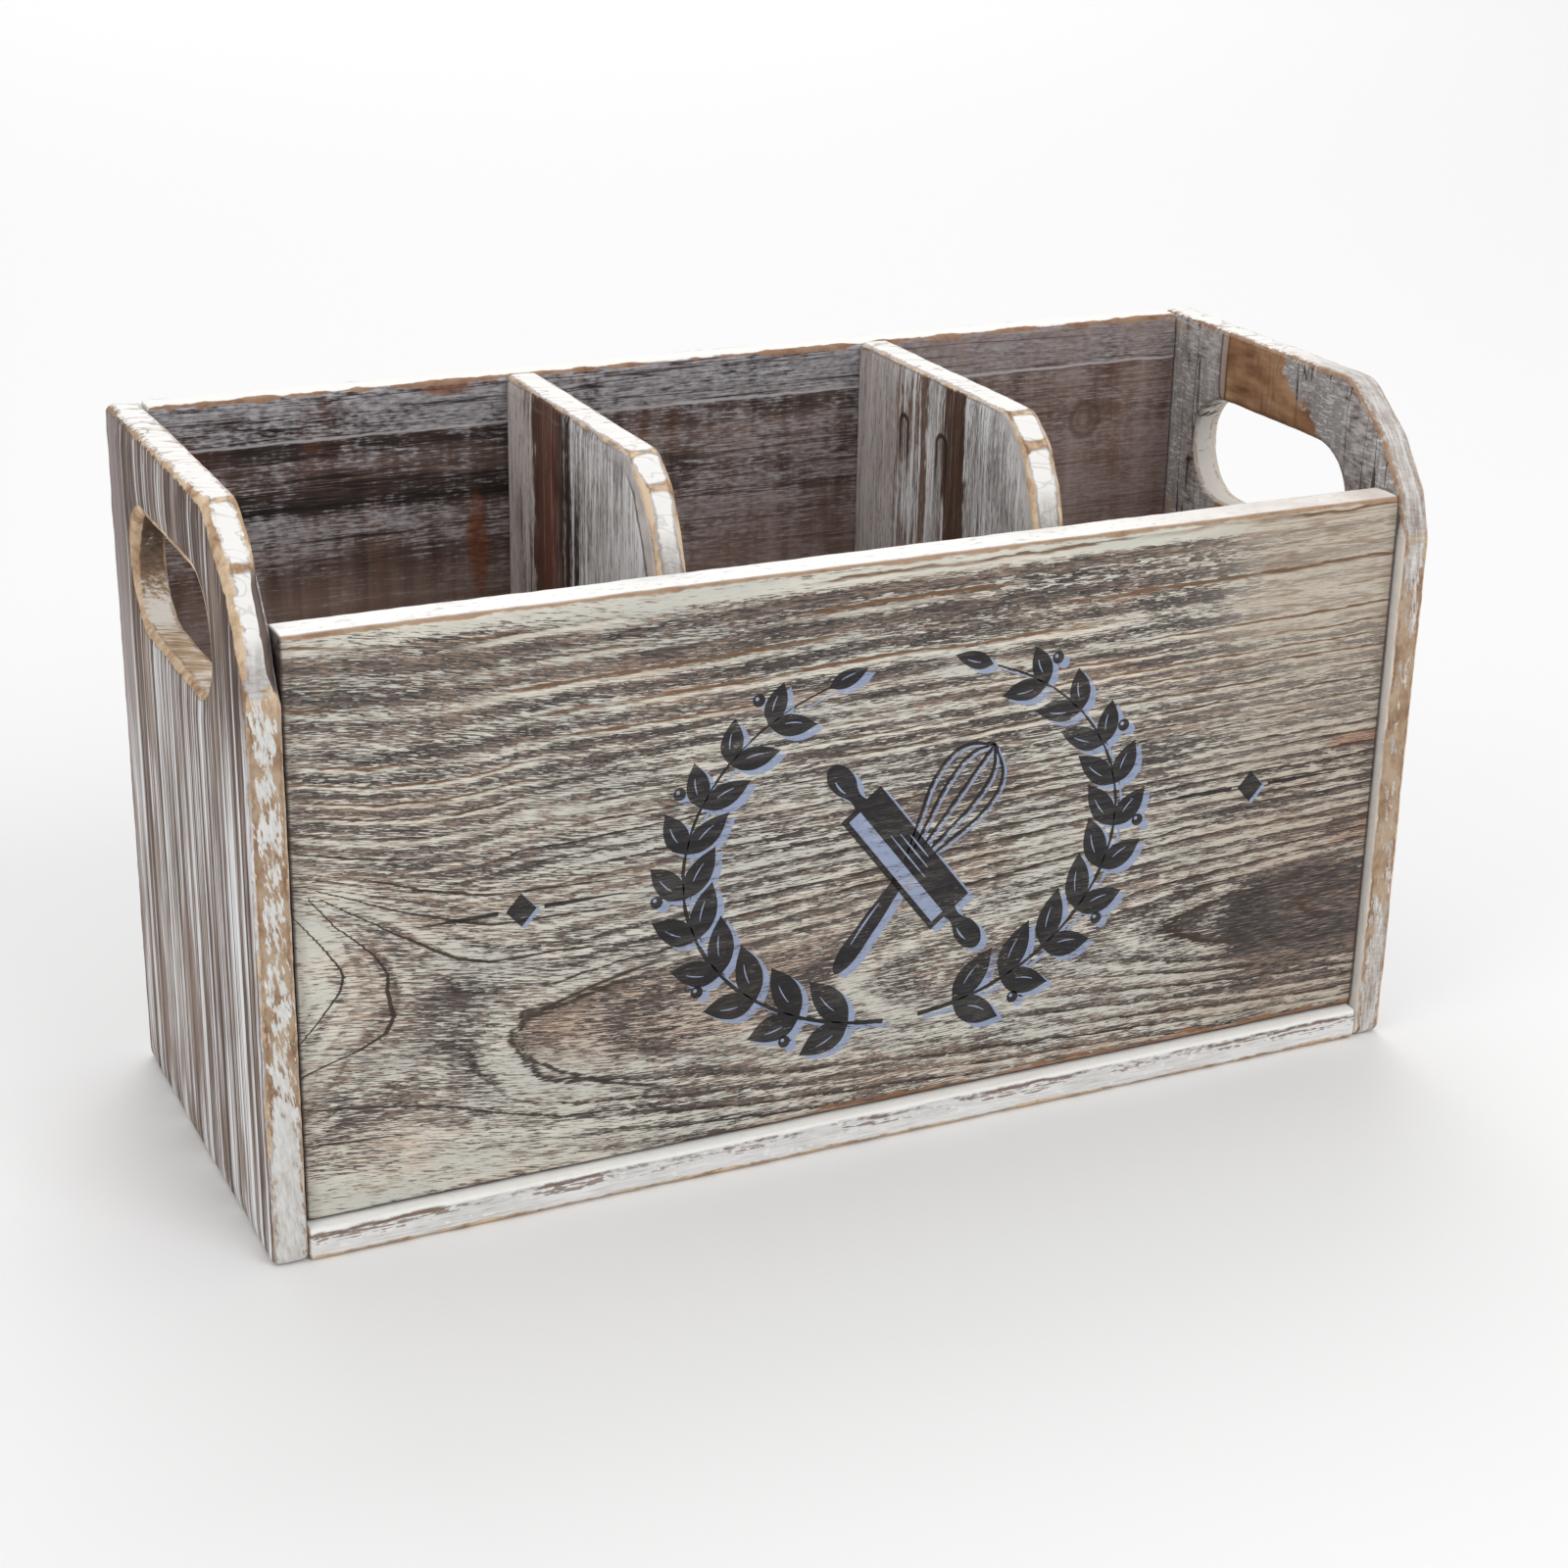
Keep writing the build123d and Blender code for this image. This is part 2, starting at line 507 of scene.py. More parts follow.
def cut_facets(piece, corner):
    """Saws a worn corner off a board, and rounds the lines where its facets meet."""
    slopes = [0.0]
    for start, end in zip(corner, corner[1:]):
        forward, down = start[0] - end[0], start[1] - end[1]
        bisect(Vector((0, *start)) * mm, Vector((0, -down, forward)).normalized())
        slopes.append(math.atan2(down, forward))
    slopes.append(math.pi / 2)
    for point, before, after in zip(corner, slopes, slopes[1:]):
        round_edges(piece, lies_on([point]), facet_round * math.tan((after - before) / 2) * mm, 3)


# %% One crisp end, with its hand hole
outer_arris = 2.0
inner_arris = 1.3


def slot_cutter():
    """A round bar along X, pulled apart along Y into the shape of the hand hole."""
    deselect()
    bpy.ops.mesh.primitive_cylinder_add(
        vertices=50,
        radius=hole_round * mm,
        depth=(half_length - half_inside) * 3 * mm,
        rotation=(0, math.pi / 2, 0),
        location=(-half_length * mm, hole_centre[0] * mm, hole_centre[1] * mm),
    )
    cutter = bpy.context.object
    bpy.ops.object.transform_apply(location=True, rotation=True, scale=True)
    for way in (-1, 1):
        with edit_mode("DESELECT"):
            bpy.ops.mesh.select_mode(type="VERT")
            mesh = bmesh.from_edit_mesh(cutter.data)
            for vertex in mesh.verts:
                vertex.select_set((vertex.co.y / mm - hole_centre[0]) * way > 0)
            bmesh.update_edit_mesh(cutter.data)
            bpy.ops.transform.translate(value=(0, way * hole_straight * mm, 0))
    return cutter


def crisp_end():
    low, high = (Vector(corner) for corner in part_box("left_end"))
    board = block("left_end_board", low, high)
    cut_facets(board, end_corner)
    square_corners = ((-half_depth, 0.0), (half_depth, 0.0), (half_depth, height))
    round_edges(board, lies_on(square_corners), corner_round * mm, 5)
    cutter = slot_cutter()
    apply_modifier(board, "BOOLEAN", object=cutter, operation="DIFFERENCE")
    bpy.data.objects.remove(cutter)
    round_edges(board, in_plane(-half_length), outer_arris * mm, 4)
    round_edges(board, in_plane(-half_inside), inner_arris * mm, 3)
    return board


def mirrored(piece, name):
    """A copy of a board, with its own mesh, on the other side of the caddy's middle."""
    pick(piece)
    bpy.ops.object.duplicate()
    copy = bpy.context.object
    copy.name = name
    copy.scale.x = -1
    bpy.ops.object.transform_apply(location=True, rotation=True, scale=True)
    with edit_mode("SELECT"):
        bpy.ops.mesh.normals_make_consistent(inside=False)
    return copy


# %% Both ends, worn
def end_depths(x, y, z, side):
    """The depths of a point under an end's outer face, inner face, edges and hole wall."""
    outer = half_length - x * side
    inner = x * side - half_inside
    edges = least(under_edges(y, z, end_corner), half_depth - y, z)
    return outer, inner, edges, under_hole(y, z)


def end_arris(side):
    def distance(x, y, z):
        outer, inner, edges, hole = end_depths(x, y, z, side)
        return most(least(outer, inner), least(edges, hole))
    return distance


left_end = crisp_end()
right_end = mirrored(left_end, "right_end_board")
for board, side, node in ((left_end, -1, "left_end"), (right_end, 1, "right_end")):
    wear(board, end_arris(side), 0.8, 0.45)
    board_for(board, node)


def inner_shoulder(x, y, z):
    """Near the left end's inner arris along the lower facets of its corner."""
    outer, inner, edges, hole = end_depths(x, y, z, -1)
    along = np.clip((z - 146) / 8, 0, 1) * np.clip((179 - z) / 8, 0, 1)
    return (1 - np.maximum(inner, edges) / 5.0) * along


rub_away(left_end, inner_shoulder, 2.0)

# %% [markdown]
# ## The dividers
# The dividers have a worn corner too, smaller, above the front board. They are let in behind the
# front board and against the back board, so only their free edges are rounded.

# %% Both dividers, worn
divider_middle = 53.417
divider_half = 4.75
divider_arris = 1.3


def crisp_divider(node):
    low, high = (Vector(place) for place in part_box(node))
    board = block(node + "_board", low, high)
    cut_facets(board, divider_corner)

    def is_free(at, direction):
        clear = at.z / mm > bay_floor + 0.01 and at.y / mm < bay_back - 0.01
        return clear and abs(direction.x) < 0.1

    round_edges(board, is_free, divider_arris * mm, 3)
    return board


def divider_depths(x, y, z, side):
    """The depths of a point under a divider's nearer face and under its free edges."""
    face = divider_half - abs(x - side * divider_middle)
    return face, under_edges(y, z, divider_corner)


def divider_arris_distance(side):
    return lambda x, y, z: most(*divider_depths(x, y, z, side))


def left_shoulder(x, y, z):
    """Near the left divider's left arris along the facets of its corner."""
    face, rim = divider_depths(x, y, z, -1)
    along = np.clip((180 - z) / 8, 0, 1) * (x < -divider_middle)
    return (1 - np.maximum(face, rim) / 4.0) * along


left_divider = crisp_divider("left_divider")
right_divider = crisp_divider("right_divider")
dividers = ((left_divider, -1, "left_divider"), (right_divider, 1, "right_divider"))
for board, side, node in dividers:
    wear(board, divider_arris_distance(side), 0.8, 0.35)
rub_away(left_divider, left_shoulder, 1.4)
for board, side, node in dividers:
    board_for(board, node)

# %% [markdown]
# ## The long boards
# Back, front and bottom are plain planks. Each is a block whose free long edges are rounded.

# %% Back, front and bottom
def plank(name, node, arrises, radius, voxel, depth):
    """A plank with rounded edges along X at the given (y, z) places."""
    low, high = (Vector(corner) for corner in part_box(node))
    board = block(name, low, high)
    round_edges(board, lies_on(arrises), radius * mm, 3)
    wear(board, lambda x, y, z: gap_to_points(y, z, arrises), voxel, depth)
    board_for(board, node)
    return board


front_face = -60.5
front_top = 162.0
back_arrises = ((half_depth, height), (bay_back, height))
bottom_arrises = ((-half_depth, 0.0), (-half_depth, bay_floor), (half_depth, 0.0))
front_arrises = ((front_face, front_top), (bay_front, front_top), (front_face, bay_floor))
back_board = plank("back_board_plank", "back_board", back_arrises, 1.2, 1.2, 0.4)
bottom_board = plank("bottom_plank", "bottom_board", bottom_arrises, 1.2, 1.0, 0.4)
front_board = plank("front_plank", "front_board", front_arrises, 1.0, 1.1, 0.3)

# %% [markdown]
# ## Wash, scorch and sanding
# The wood was torched, brushed with thin white paint along the grain, and rubbed back. Paint stays
# where a sum of noises says so: long narrow ones for fibres and bands, round ones for worn patches,
# and tiny ones that make the paint's border ragged. On an arris the sandpaper took everything off.

# %% Paint, bare wood and sanded arrises
wash_white = (246, 244, 241)
deep_brown = (112, 88, 74)


def sanded_wood(wood, seed):
    """The warm bare wood of an arris, with its small tonal changes."""
    tone = wood.cloud((6, 6, 9, 4, 0.65), seed) + 0.5
    return wood.ramp(tone, (0.15, 148, 117, 90), (0.38, 190, 158, 126), (0.64, 221, 196, 166))


def crack(noise, width):
    """A thin line where a noise passes through its middle."""
    return abs(noise).fall(width * 0.3, width)


def across(wood, place, stops):
    """A colour or an amount that changes from front to back, at stops in millimetres."""
    depth = half_depth * 2
    shades = [((at + half_depth) / depth, *shade) for at, *shade in stops]
    return wood.ramp((place + half_depth) / depth, *shades)


# %% [markdown]
# ## The ends' finish
# Outside, an end shows upright stripes, where the paint stayed in the soft wood between the rings.
# Its top is nearly solid white, crazed across its thickness, and each facet of its corner is a white
# island in sanded wood. Inside, smooth amber wood shows over the hand hole, between grey paint that
# broke into scales in front of it and a grey strip in the rear corner.

# %% The upright faces of an end
def end_outside(wood, seed):
    """Upright stripes of paint and bare wood, each as long as the board, browner round the hole."""
    y, z = wood.y, wood.z
    bands, lines, hairs, fibres, spindle, smudges = wood.clouds(
        seed, (9, 5, 420, 2), (4, 1.4, 300, 3, 0.7), (3, 0.7, 60, 2), (0.8, 0.5, 12, 2),
        (40, 9, 75, 2), (30, 9, 34, 2),
    )
    bared = z.rise(112, 150) * (y.rise(34, 50) * 0.8 + y.fall(-44, -30))
    tone = bands * 0.8 + lines * 1.1 + hairs * 0.45 + fibres * 0.22 + smudges * 0.2 + 0.46
    tone = tone - bared * 0.16 - z.rise(132, 162) * 0.17
    stripes = wood.ramp(
        tone, (0.12, 78, 61, 53), (0.30, 128, 108, 96), (0.43, 164, 150, 141), (0.54, 203, 200, 200),
        (0.76, 240, 240, 243),
    )
    brown = wood.ramp(lines + fibres * 0.5 + 0.5, (0.25, 112, 90, 78), (0.7, 162, 143, 130))
    skin = wood.mix((spindle + lines * 0.25 + bared * 0.08).rise(0.14, 0.3) * 0.85, stripes, brown)
    plain = wood.mix(lines + 0.5, (134, 120, 115), (182, 172, 170))
    skin = wood.mix((y + lines * 4).rise(45, 51) * z.rise(60, 130) * 0.75, skin, plain)
    seams = crack(lines + hairs * 0.2 - 0.1, 0.05) * z.rise(120, 160)
    return wood.mix(seams * 0.8, skin, (56, 43, 38)), lines * 0.14 + fibres * 0.06


def end_inside(wood, seed):
    """Amber wood over the hand hole, with scaly grey paint before it and a grey strip behind it."""
    y, z = wood.y, wood.z
    lines, patches, smooth, scales = wood.clouds(
        seed + 1, (3, 1.8, 60, 3, 0.7), (24, 16, 34, 3), (9, 14, 4, 3), (6, 4.5, 0.9, 3, 0.7),
    )
    chips = wood.cloud((5, 4, 2.6, 3, 0.6), seed + 6)
    warm = wood.ramp(
        smooth * 0.6 + patches * 0.5 + scales * 0.12 + lines * 0.06 + 0.5, (0.15, 126, 90, 66),
        (0.45, 176, 132, 97), (0.75, 206, 167, 131),
    )
    splits = wood.cloud((4, 6.5, 110, 2), seed + 7)
    grey = wood.ramp(
        scales * 0.5 + chips * 0.4 + lines * 0.22 + splits * 0.15 + patches * 0.6 + 0.6,
        (0.14, 80, 68, 62), (0.36, 158, 148, 144), (0.56, 200, 195, 193), (0.85, 230, 227, 226),
    )
    border = 0 - y - 2.9 - least(most(height - 5 - z, 0.0), 17.0) * 1.26
    rear = (y - 28 + lines * 2 + chips).past(0.5) * (1 - (smooth + patches).rise(0.15, 0.5) * 0.7)
    greyed = (border + chips * 9 + patches * 4).past(0.9) + rear
    skin = wood.mix(least(greyed, 1.0), warm, grey)
    upright = crack(splits + lines * 0.06, 0.03) * (0.3 + least(greyed, 1.0) * 0.5)
    broken = crack(scales + chips * 0.3, 0.22) * (lines + patches + 0.3).rise(0.1, 0.5) * greyed * 0.5
    skin = wood.mix(least(upright + broken, 0.9), skin, (58, 47, 43))
    strip = abs(y - 28.2 + lines * 0.6) - z.rise(160, 172) * 1.7
    skin = wood.mix(strip.fall(-0.3, 0.3) * z.rise(160, 170) * 0.8, skin, (196, 178, 166))
    return wood.mix(abs(strip).fall(0.1, 0.8) * z.rise(158, 168) * 0.75, skin, (92, 64, 50))


# %% The edges of an end
def edge_paint(wood, seed, slab, gaps, facet_top, facet_foot, gap_width, rubbed=0.0):
    """An edge: solid crazed white on top, an island on each facet, and ragged flakes below."""
    x, y, z = wood.axes
    slant = wood.point(x, y + x * 0.3, z + x * 0.15)
    steep = wood.point(x + z * 0.13, y, z)
    dabs = wood.cloud((3.2, 3, 0.8, 3, 0.65), seed, slant)
    fringes = wood.cloud((0.75, 3, 3.6, 3, 0.65), seed + 6, steep)
    clumps, waver = wood.clouds(seed + 1, (5, 8, 7, 2), (9, 7, 7, 3))
    craze = wood.cloud((14, 4.2, 4.2, 1), seed + 3, slant)
    drag = wood.cloud((1.2, 9, 9, 3, 0.65), seed + 5)
    top = z.rise(facet_foot, facet_foot + 5)
    below = z.fall(facet_foot - 3, facet_foot + 1)
    foot = z.fall(26, 56)
    torn = wood.blend(below, dabs, fringes)
    level = top * 1.1 + foot * 0.7 - 0.2 + torn * (0.8 + below * 0.5) + clumps * 0.85 + waver * 0.3
    level = level + slab.rise(1.2, 3.4) * (0.25 + below * 0.25) - below * (0.22 + rubbed * 0.35)
    level = level + z.rise(110, 148) * rubbed * 0.5
    grey = z.fall(facet_foot + 2, facet_top)
    dull = wood.ramp(
        torn * 0.5 + clumps * 0.3 + 0.6, (0.2, 170, 166, 162), (0.55, 207, 204, 200),
        (0.8, 228, 227, 224),
    )
    paint = wood.mix(grey, wash_white, dull)
    crazed = crack(craze, 0.05) * (0.25 + y.rise(-15, 25) * 0.35) * (1 - below)
    paint = wood.mix(crazed, paint, (140, 120, 104))
    # A greyer, purplish band over the lowest facet and just under it.
    grey_band = z.fall(facet_foot + 8, facet_top - 2) * z.rise(facet_foot - 4, facet_foot + 2)
    grey_band = grey_band * (drag * 0.8 + clumps * 0.6 + 0.5)
    paint = wood.mix(grey_band * 0.6, paint, (122, 110, 106))
    worn = wood.ramp(
        drag * 0.9 + dabs * 0.3 + 0.5, (0.2, 146, 130, 118), (0.5, 188, 180, 174),
        (0.8, 220, 217, 214),
    )
    paint = wood.mix(y.fall(-40, 10) * rubbed * 0.85, paint, worn)
    bare = wood.mix(z.fall(facet_foot - 8, facet_foot) * 0.45, sanded_wood(wood, seed + 4), deep_brown)
    skin = wood.mix(level.past(0.08), bare, paint)
    past_side = most(3.4 - slab, 0.0)
    past_gap = most(3.0 + gap_width - gap_to_points(y, z, gaps), 0.0)
    island = 3.0 - (past_side ** 2 + past_gap ** 2) ** 0.5 + waver * 0.8 + dabs * 1.1
    near_gap = past_gap.rise(0.0, 0.5) * (1 - rubbed * 0.5)
    skin = wood.mix(island.fall(-0.25, 0.25) * near_gap, skin, sanded_wood(wood, seed + 7))
    dark_side = abs(island - 0.1).fall(0.1, 0.6) * (dabs + 0.6).rise(0.2, 0.8) * near_gap
    return wood.mix(dark_side * 0.6, skin, (104, 78, 62))


def hole_wall(wood, seed, painted):
    """The hand hole's wall: dark brown above, painted shade where the wall faces down, and tan with
    white strokes dragged through it below.
    """
    x, y, z = wood.axes
    leaning = wood.point(x, y + x * 0.5, z)
    strokes = wood.cloud((9, 1.3, 1.1, 3, 0.65), seed, leaning)
    patches = wood.cloud((14, 8, 8, 2), seed + 1)
    # Painted shade: the bare wood darkens towards the top of the hole, where the wall faces down.
    tone = strokes * 0.4 + patches * 0.4 + z.fall(140, 158) * 0.55 + 0.12
    bare = wood.ramp(
        tone, (0.1, 82, 68, 57), (0.35, 124, 103, 85), (0.62, 186, 156, 126), (0.85, 214, 188, 158),
    )
    ledge = y.rise(20, 32) * z.rise(136, 140) * z.fall(145, 149)
    level = strokes * 1.0 + patches * 0.7 + z.fall(136, 144) * 0.4 + ledge * 0.5 + y.fall(-34, -10) * 0.3
    level = level + painted * (0.45 + z.fall(160, 166) * 0.35) - 0.42
    return wood.mix(level.past(0.2) * 0.85, bare, (226, 222, 216))


# %% The ends
def end_finish(name, side, seed):
    wood = Finish(name)
    y, z = wood.y, wood.z
    outer, inner, edges, hole = end_depths(wood.x, y, z, side)
    rim, slab = least(edges, hole), least(outer, inner)
    on_right = float(side > 0)
    outside, relief = end_outside(wood, seed)
    near_outside = (inner - outer).past(1)
    near_hole = (edges - hole).past(0.5)
    face = wood.mix(near_outside, end_inside(wood, seed + 5), outside)
    gaps = end_corner[3:] if side > 0 else end_corner[:2]
    edge = edge_paint(wood, seed + 10, slab, gaps, 164, 150, 1.05 - on_right * 0.2, on_right)
    edge = wood.mix(near_hole, edge, hole_wall(wood, seed + 15, on_right))
    skin = wood.mix((slab - rim).past(), face, edge)

    waver, flecks = wood.clouds(seed + 20, (7, 7, 7, 3), (1.6, 1.3, 2.2, 3))
    upper = z.rise(146, 160) * (1 - near_hole)
    rim_width = near_hole * (0.8 + z.rise(142, 158) * 0.9)
    width = 0.9 + near_outside * (upper * (0.3 + y.fall(-35, 5) * 0.9) * (1 - on_right) + rim_width)
    width = width + near_outside * on_right * 0.5
    widened = on_right * 0.2 + y.fall(-34, -24) * (1 - on_right) * 0.8
    width = width + upper * (1 - near_outside) * widened
    width = width + waver * (1.2 - on_right * 0.6 - near_hole * 0.5) + flecks * (1 - near_hole * 0.85)
    arris = most(slab, rim)
    outline = abs(width + 0.35 - arris).fall(0.1, 0.6) * (flecks + waver + 0.5).rise(0.2, 0.8)
    skin = wood.mix(outline * 0.5, skin, (120, 88, 66))
    sanded = (width - arris).past()
    bare = wood.mix(y.rise(15, 50) * (1 - near_hole) * 0.6, sanded_wood(wood, seed + 22), deep_brown)
    bare = wood.mix(on_right * (1 - near_outside) * z.rise(140, 156) * 0.6, bare, (136, 96, 72))
    skin = wood.mix(sanded * (1 - on_right * near_hole * 0.7), skin, bare)
    if side < 0:
        shoulder = (4.4 + waver - most(inner, edges)) + (least(edges, inner) - 0.9).fall(-0.4, 0.2) * -9
        scar = shoulder.past(0.3) * z.rise(147, 151) * z.fall(172, 178)
        skin = wood.mix(scar * 0.92, skin, wood.mix(waver + 0.4, (70, 54, 48), (116, 94, 84)))
    if side > 0:
        inner_front = (0.9 + waver * 0.6 - inner).past(0.3) * y.fall(-60, -59) * z.fall(148, 156)
        skin = wood.mix(inner_front * 0.85, skin, (226, 220, 212))
    wood.show(skin, relief + flecks * 0.05 - sanded * 0.12, 0.7)
    return wood


end_finish("left_end_wood", -1, 1).dress(left_end)
end_finish("right_end_wood", 1, 31).dress(right_end)

# %% [markdown]
# ## The dividers' finish
# A divider's grain is upright too. Its front is greyish white with dark cracks. Further back the
# brush left stripes of scorched, reddish wood bare, in other places on each divider, so one function
# takes both dividers' stripes as tables.

# %% The dividers
def arch(wood, middle, top, half_width):
    """A dark mark like the top of a long drip: a half ring whose two legs fade downwards."""
    over = most(wood.z - (top - half_width), 0.0)
    ring = ((wood.y - middle) ** 2 + over ** 2) ** 0.5
    return abs(ring - half_width).fall(0.3, 1.1) * wood.z.rise(top - 26, top - 6)


def divider_face(wood, seed, bare_stops, paint_stops, arches):
    """Upright streaks, whose wood and share of paint change from front to back."""
    bands, lines, patches, specks, mottle = wood.clouds(
        seed, (8, 4, 240, 3, 0.6), (3, 1.3, 50, 4, 0.7), (24, 14, 30, 3), (3, 0.6, 3, 2),
        (9, 5, 14, 3),
    )
    place = wood.y + lines * 2.6 + mottle * 4.0
    bare = across(wood, place, bare_stops)
    tone = lines * 0.7 + bands * 0.5 + mottle * 0.3
    bare = wood.coats(
        bare,
        ((tone + 0.1).rise(0.0, 0.7) * 0.5, (196, 180, 170)),
        ((0 - tone).rise(0.0, 0.8) * 0.5, (48, 38, 35)),
    )
    grey = wood.ramp(
        lines * 0.65 + bands * 0.3 + specks * 0.3 + patches * 0.55 + 0.62, (0.12, 108, 95, 90),
        (0.34, 184, 177, 174), (0.54, 228, 225, 224), (0.8, 248, 247, 247),
    )
    grey = wood.mix(wood.y.rise(26, 34) * 0.5, grey, (192, 175, 167))
    level = (across(wood, place, paint_stops) - 0.5) * 1.9 + bands * 0.5 + lines * 0.9
    level = level + specks * 0.3 + patches * 0.35
    skin = wood.mix(level.past(0.16), bare, grey)
    for middle, top, half_width in arches:
        skin = wood.mix(arch(wood, middle, top, half_width) * 0.95, skin, (64, 47, 40))
    cracked = wood.y.fall(2, 14) * wood.y.rise(-44, -26)
    split = crack(lines + bands * 0.2, 0.035)
    split = split + crack(lines * 0.6 + patches * 0.3 + 0.08, 0.04) * cracked
    split = split + crack(lines * 0.7 - bands * 0.4 - 0.1, 0.03) * cracked
    return wood.mix(least(split, 1.0) * 0.8, skin, (46, 37, 34)), lines * 0.12


left_bare = (
    (-49, 122, 104, 96), (-2, 72, 56, 51), (7, 50, 40, 38),
    (13, 72, 46, 38), (22, 118, 72, 54), (31, 88, 60, 50),
    (34, 114, 88, 76), (44, 128, 104, 92), (54, 132, 110, 100),
)
left_paint = (
    (-49, 0.9), (-5, 0.84), (1, 0.58), (12, 0.38), (14, 0.2), (31, 0.2), (34, 0.54), (45, 0.72),
)
right_bare = (
    (-49, 138, 122, 116), (-13, 88, 68, 60), (-8, 96, 68, 54),
    (1, 108, 80, 66), (3, 170, 154, 146), (9, 166, 148, 138),
    (12, 132, 106, 92), (29, 146, 120, 106), (34, 184, 168, 160),
)
right_paint = (
    (-49, 0.9), (-12, 0.84), (-8, 0.24), (1, 0.26), (4, 0.76), (9, 0.76), (12, 0.44), (29, 0.52),
    (34, 0.7),
)
right_arches = ((25.3, 173.5, 2.3), (3.2, 173.0, 2.8))


def divider_finish(name, side, seed, *streaks):
    wood = Finish(name)
    y, z = wood.y, wood.z
    slab, rim = divider_depths(wood.x, y, z, side)
    face, relief = divider_face(wood, seed, *streaks)
    edge = edge_paint(wood, seed + 10, slab, divider_corner[:2], 174, 158, 1.2)
    skin = wood.mix((slab - rim).past(), face, edge)
    waver, flecks = wood.clouds(seed + 20, (7, 7, 7, 3), (1.6, 1.3, 2.2, 3))
    on_left = float(side < 0) * (side * divider_middle - wood.x).rise(0, 1) * z.fall(178, 185)
    width = 0.9 + waver + flecks * 0.7 + y.fall(-48, -28) * 0.6 + on_left * (slab - rim).rise(0, 1) * 1.1
    arris = most(slab, rim)
    skin = wood.mix(abs(width + 0.3 - arris).fall(0.1, 0.6) * 0.5, skin, deep_brown)
    sanded = (width - arris).past()
    skin = wood.mix(sanded, skin, sanded_wood(wood, seed + 22))
    past_shoulder = arris - 4.6 - waver * 1.6
    on_left = on_left * (rim - slab).past(0.2)
    calm = (slab - rim).fall(-0.4, 0) * rim.fall(2.0, 5.0) * y.fall(-30, -20) * (1 - sanded)
    skin = wood.mix(calm * 0.8, skin, wood.mix(waver + 0.5, (178, 170, 167), (222, 219, 217)))
    pinkish = wood.mix(waver + 0.5, (164, 152, 147), (216, 209, 204))
    skin = wood.mix(past_shoulder.fall(-0.3, 0.3) * (1 - sanded) * on_left * 0.85, skin, pinkish)
    skin = wood.mix(abs(past_shoulder).fall(0.2, 0.8) * on_left * 0.75, skin, (82, 60, 50))
    wood.show(skin, relief + flecks * 0.05 - sanded * 0.12, 0.7)
    return wood


divider_finish("left_divider_wood", -1, 51, left_bare, left_paint, ()).dress(left_divider)
divider_finish("right_divider_wood", 1, 71, right_bare, right_paint, right_arches).dress(right_divider)

# %% [markdown]
# ## The back and bottom boards' finish
# The back's inside is the darkest wood of all: scorched, with dry grey strokes along the grain and
# others straight down, left by a nearly empty brush. Its top edge is white above an orange arris,
# and its outside is washed in worn bands. The bottom shows as a white strip under the front board.

# %% The back
knot_place = (124.6, 158.2)
amber_spots = ((-67.0, 141.0, 2.6, 12.0), (-75.0, 186.0, 6.0, 2.0))  # x, z and half sizes


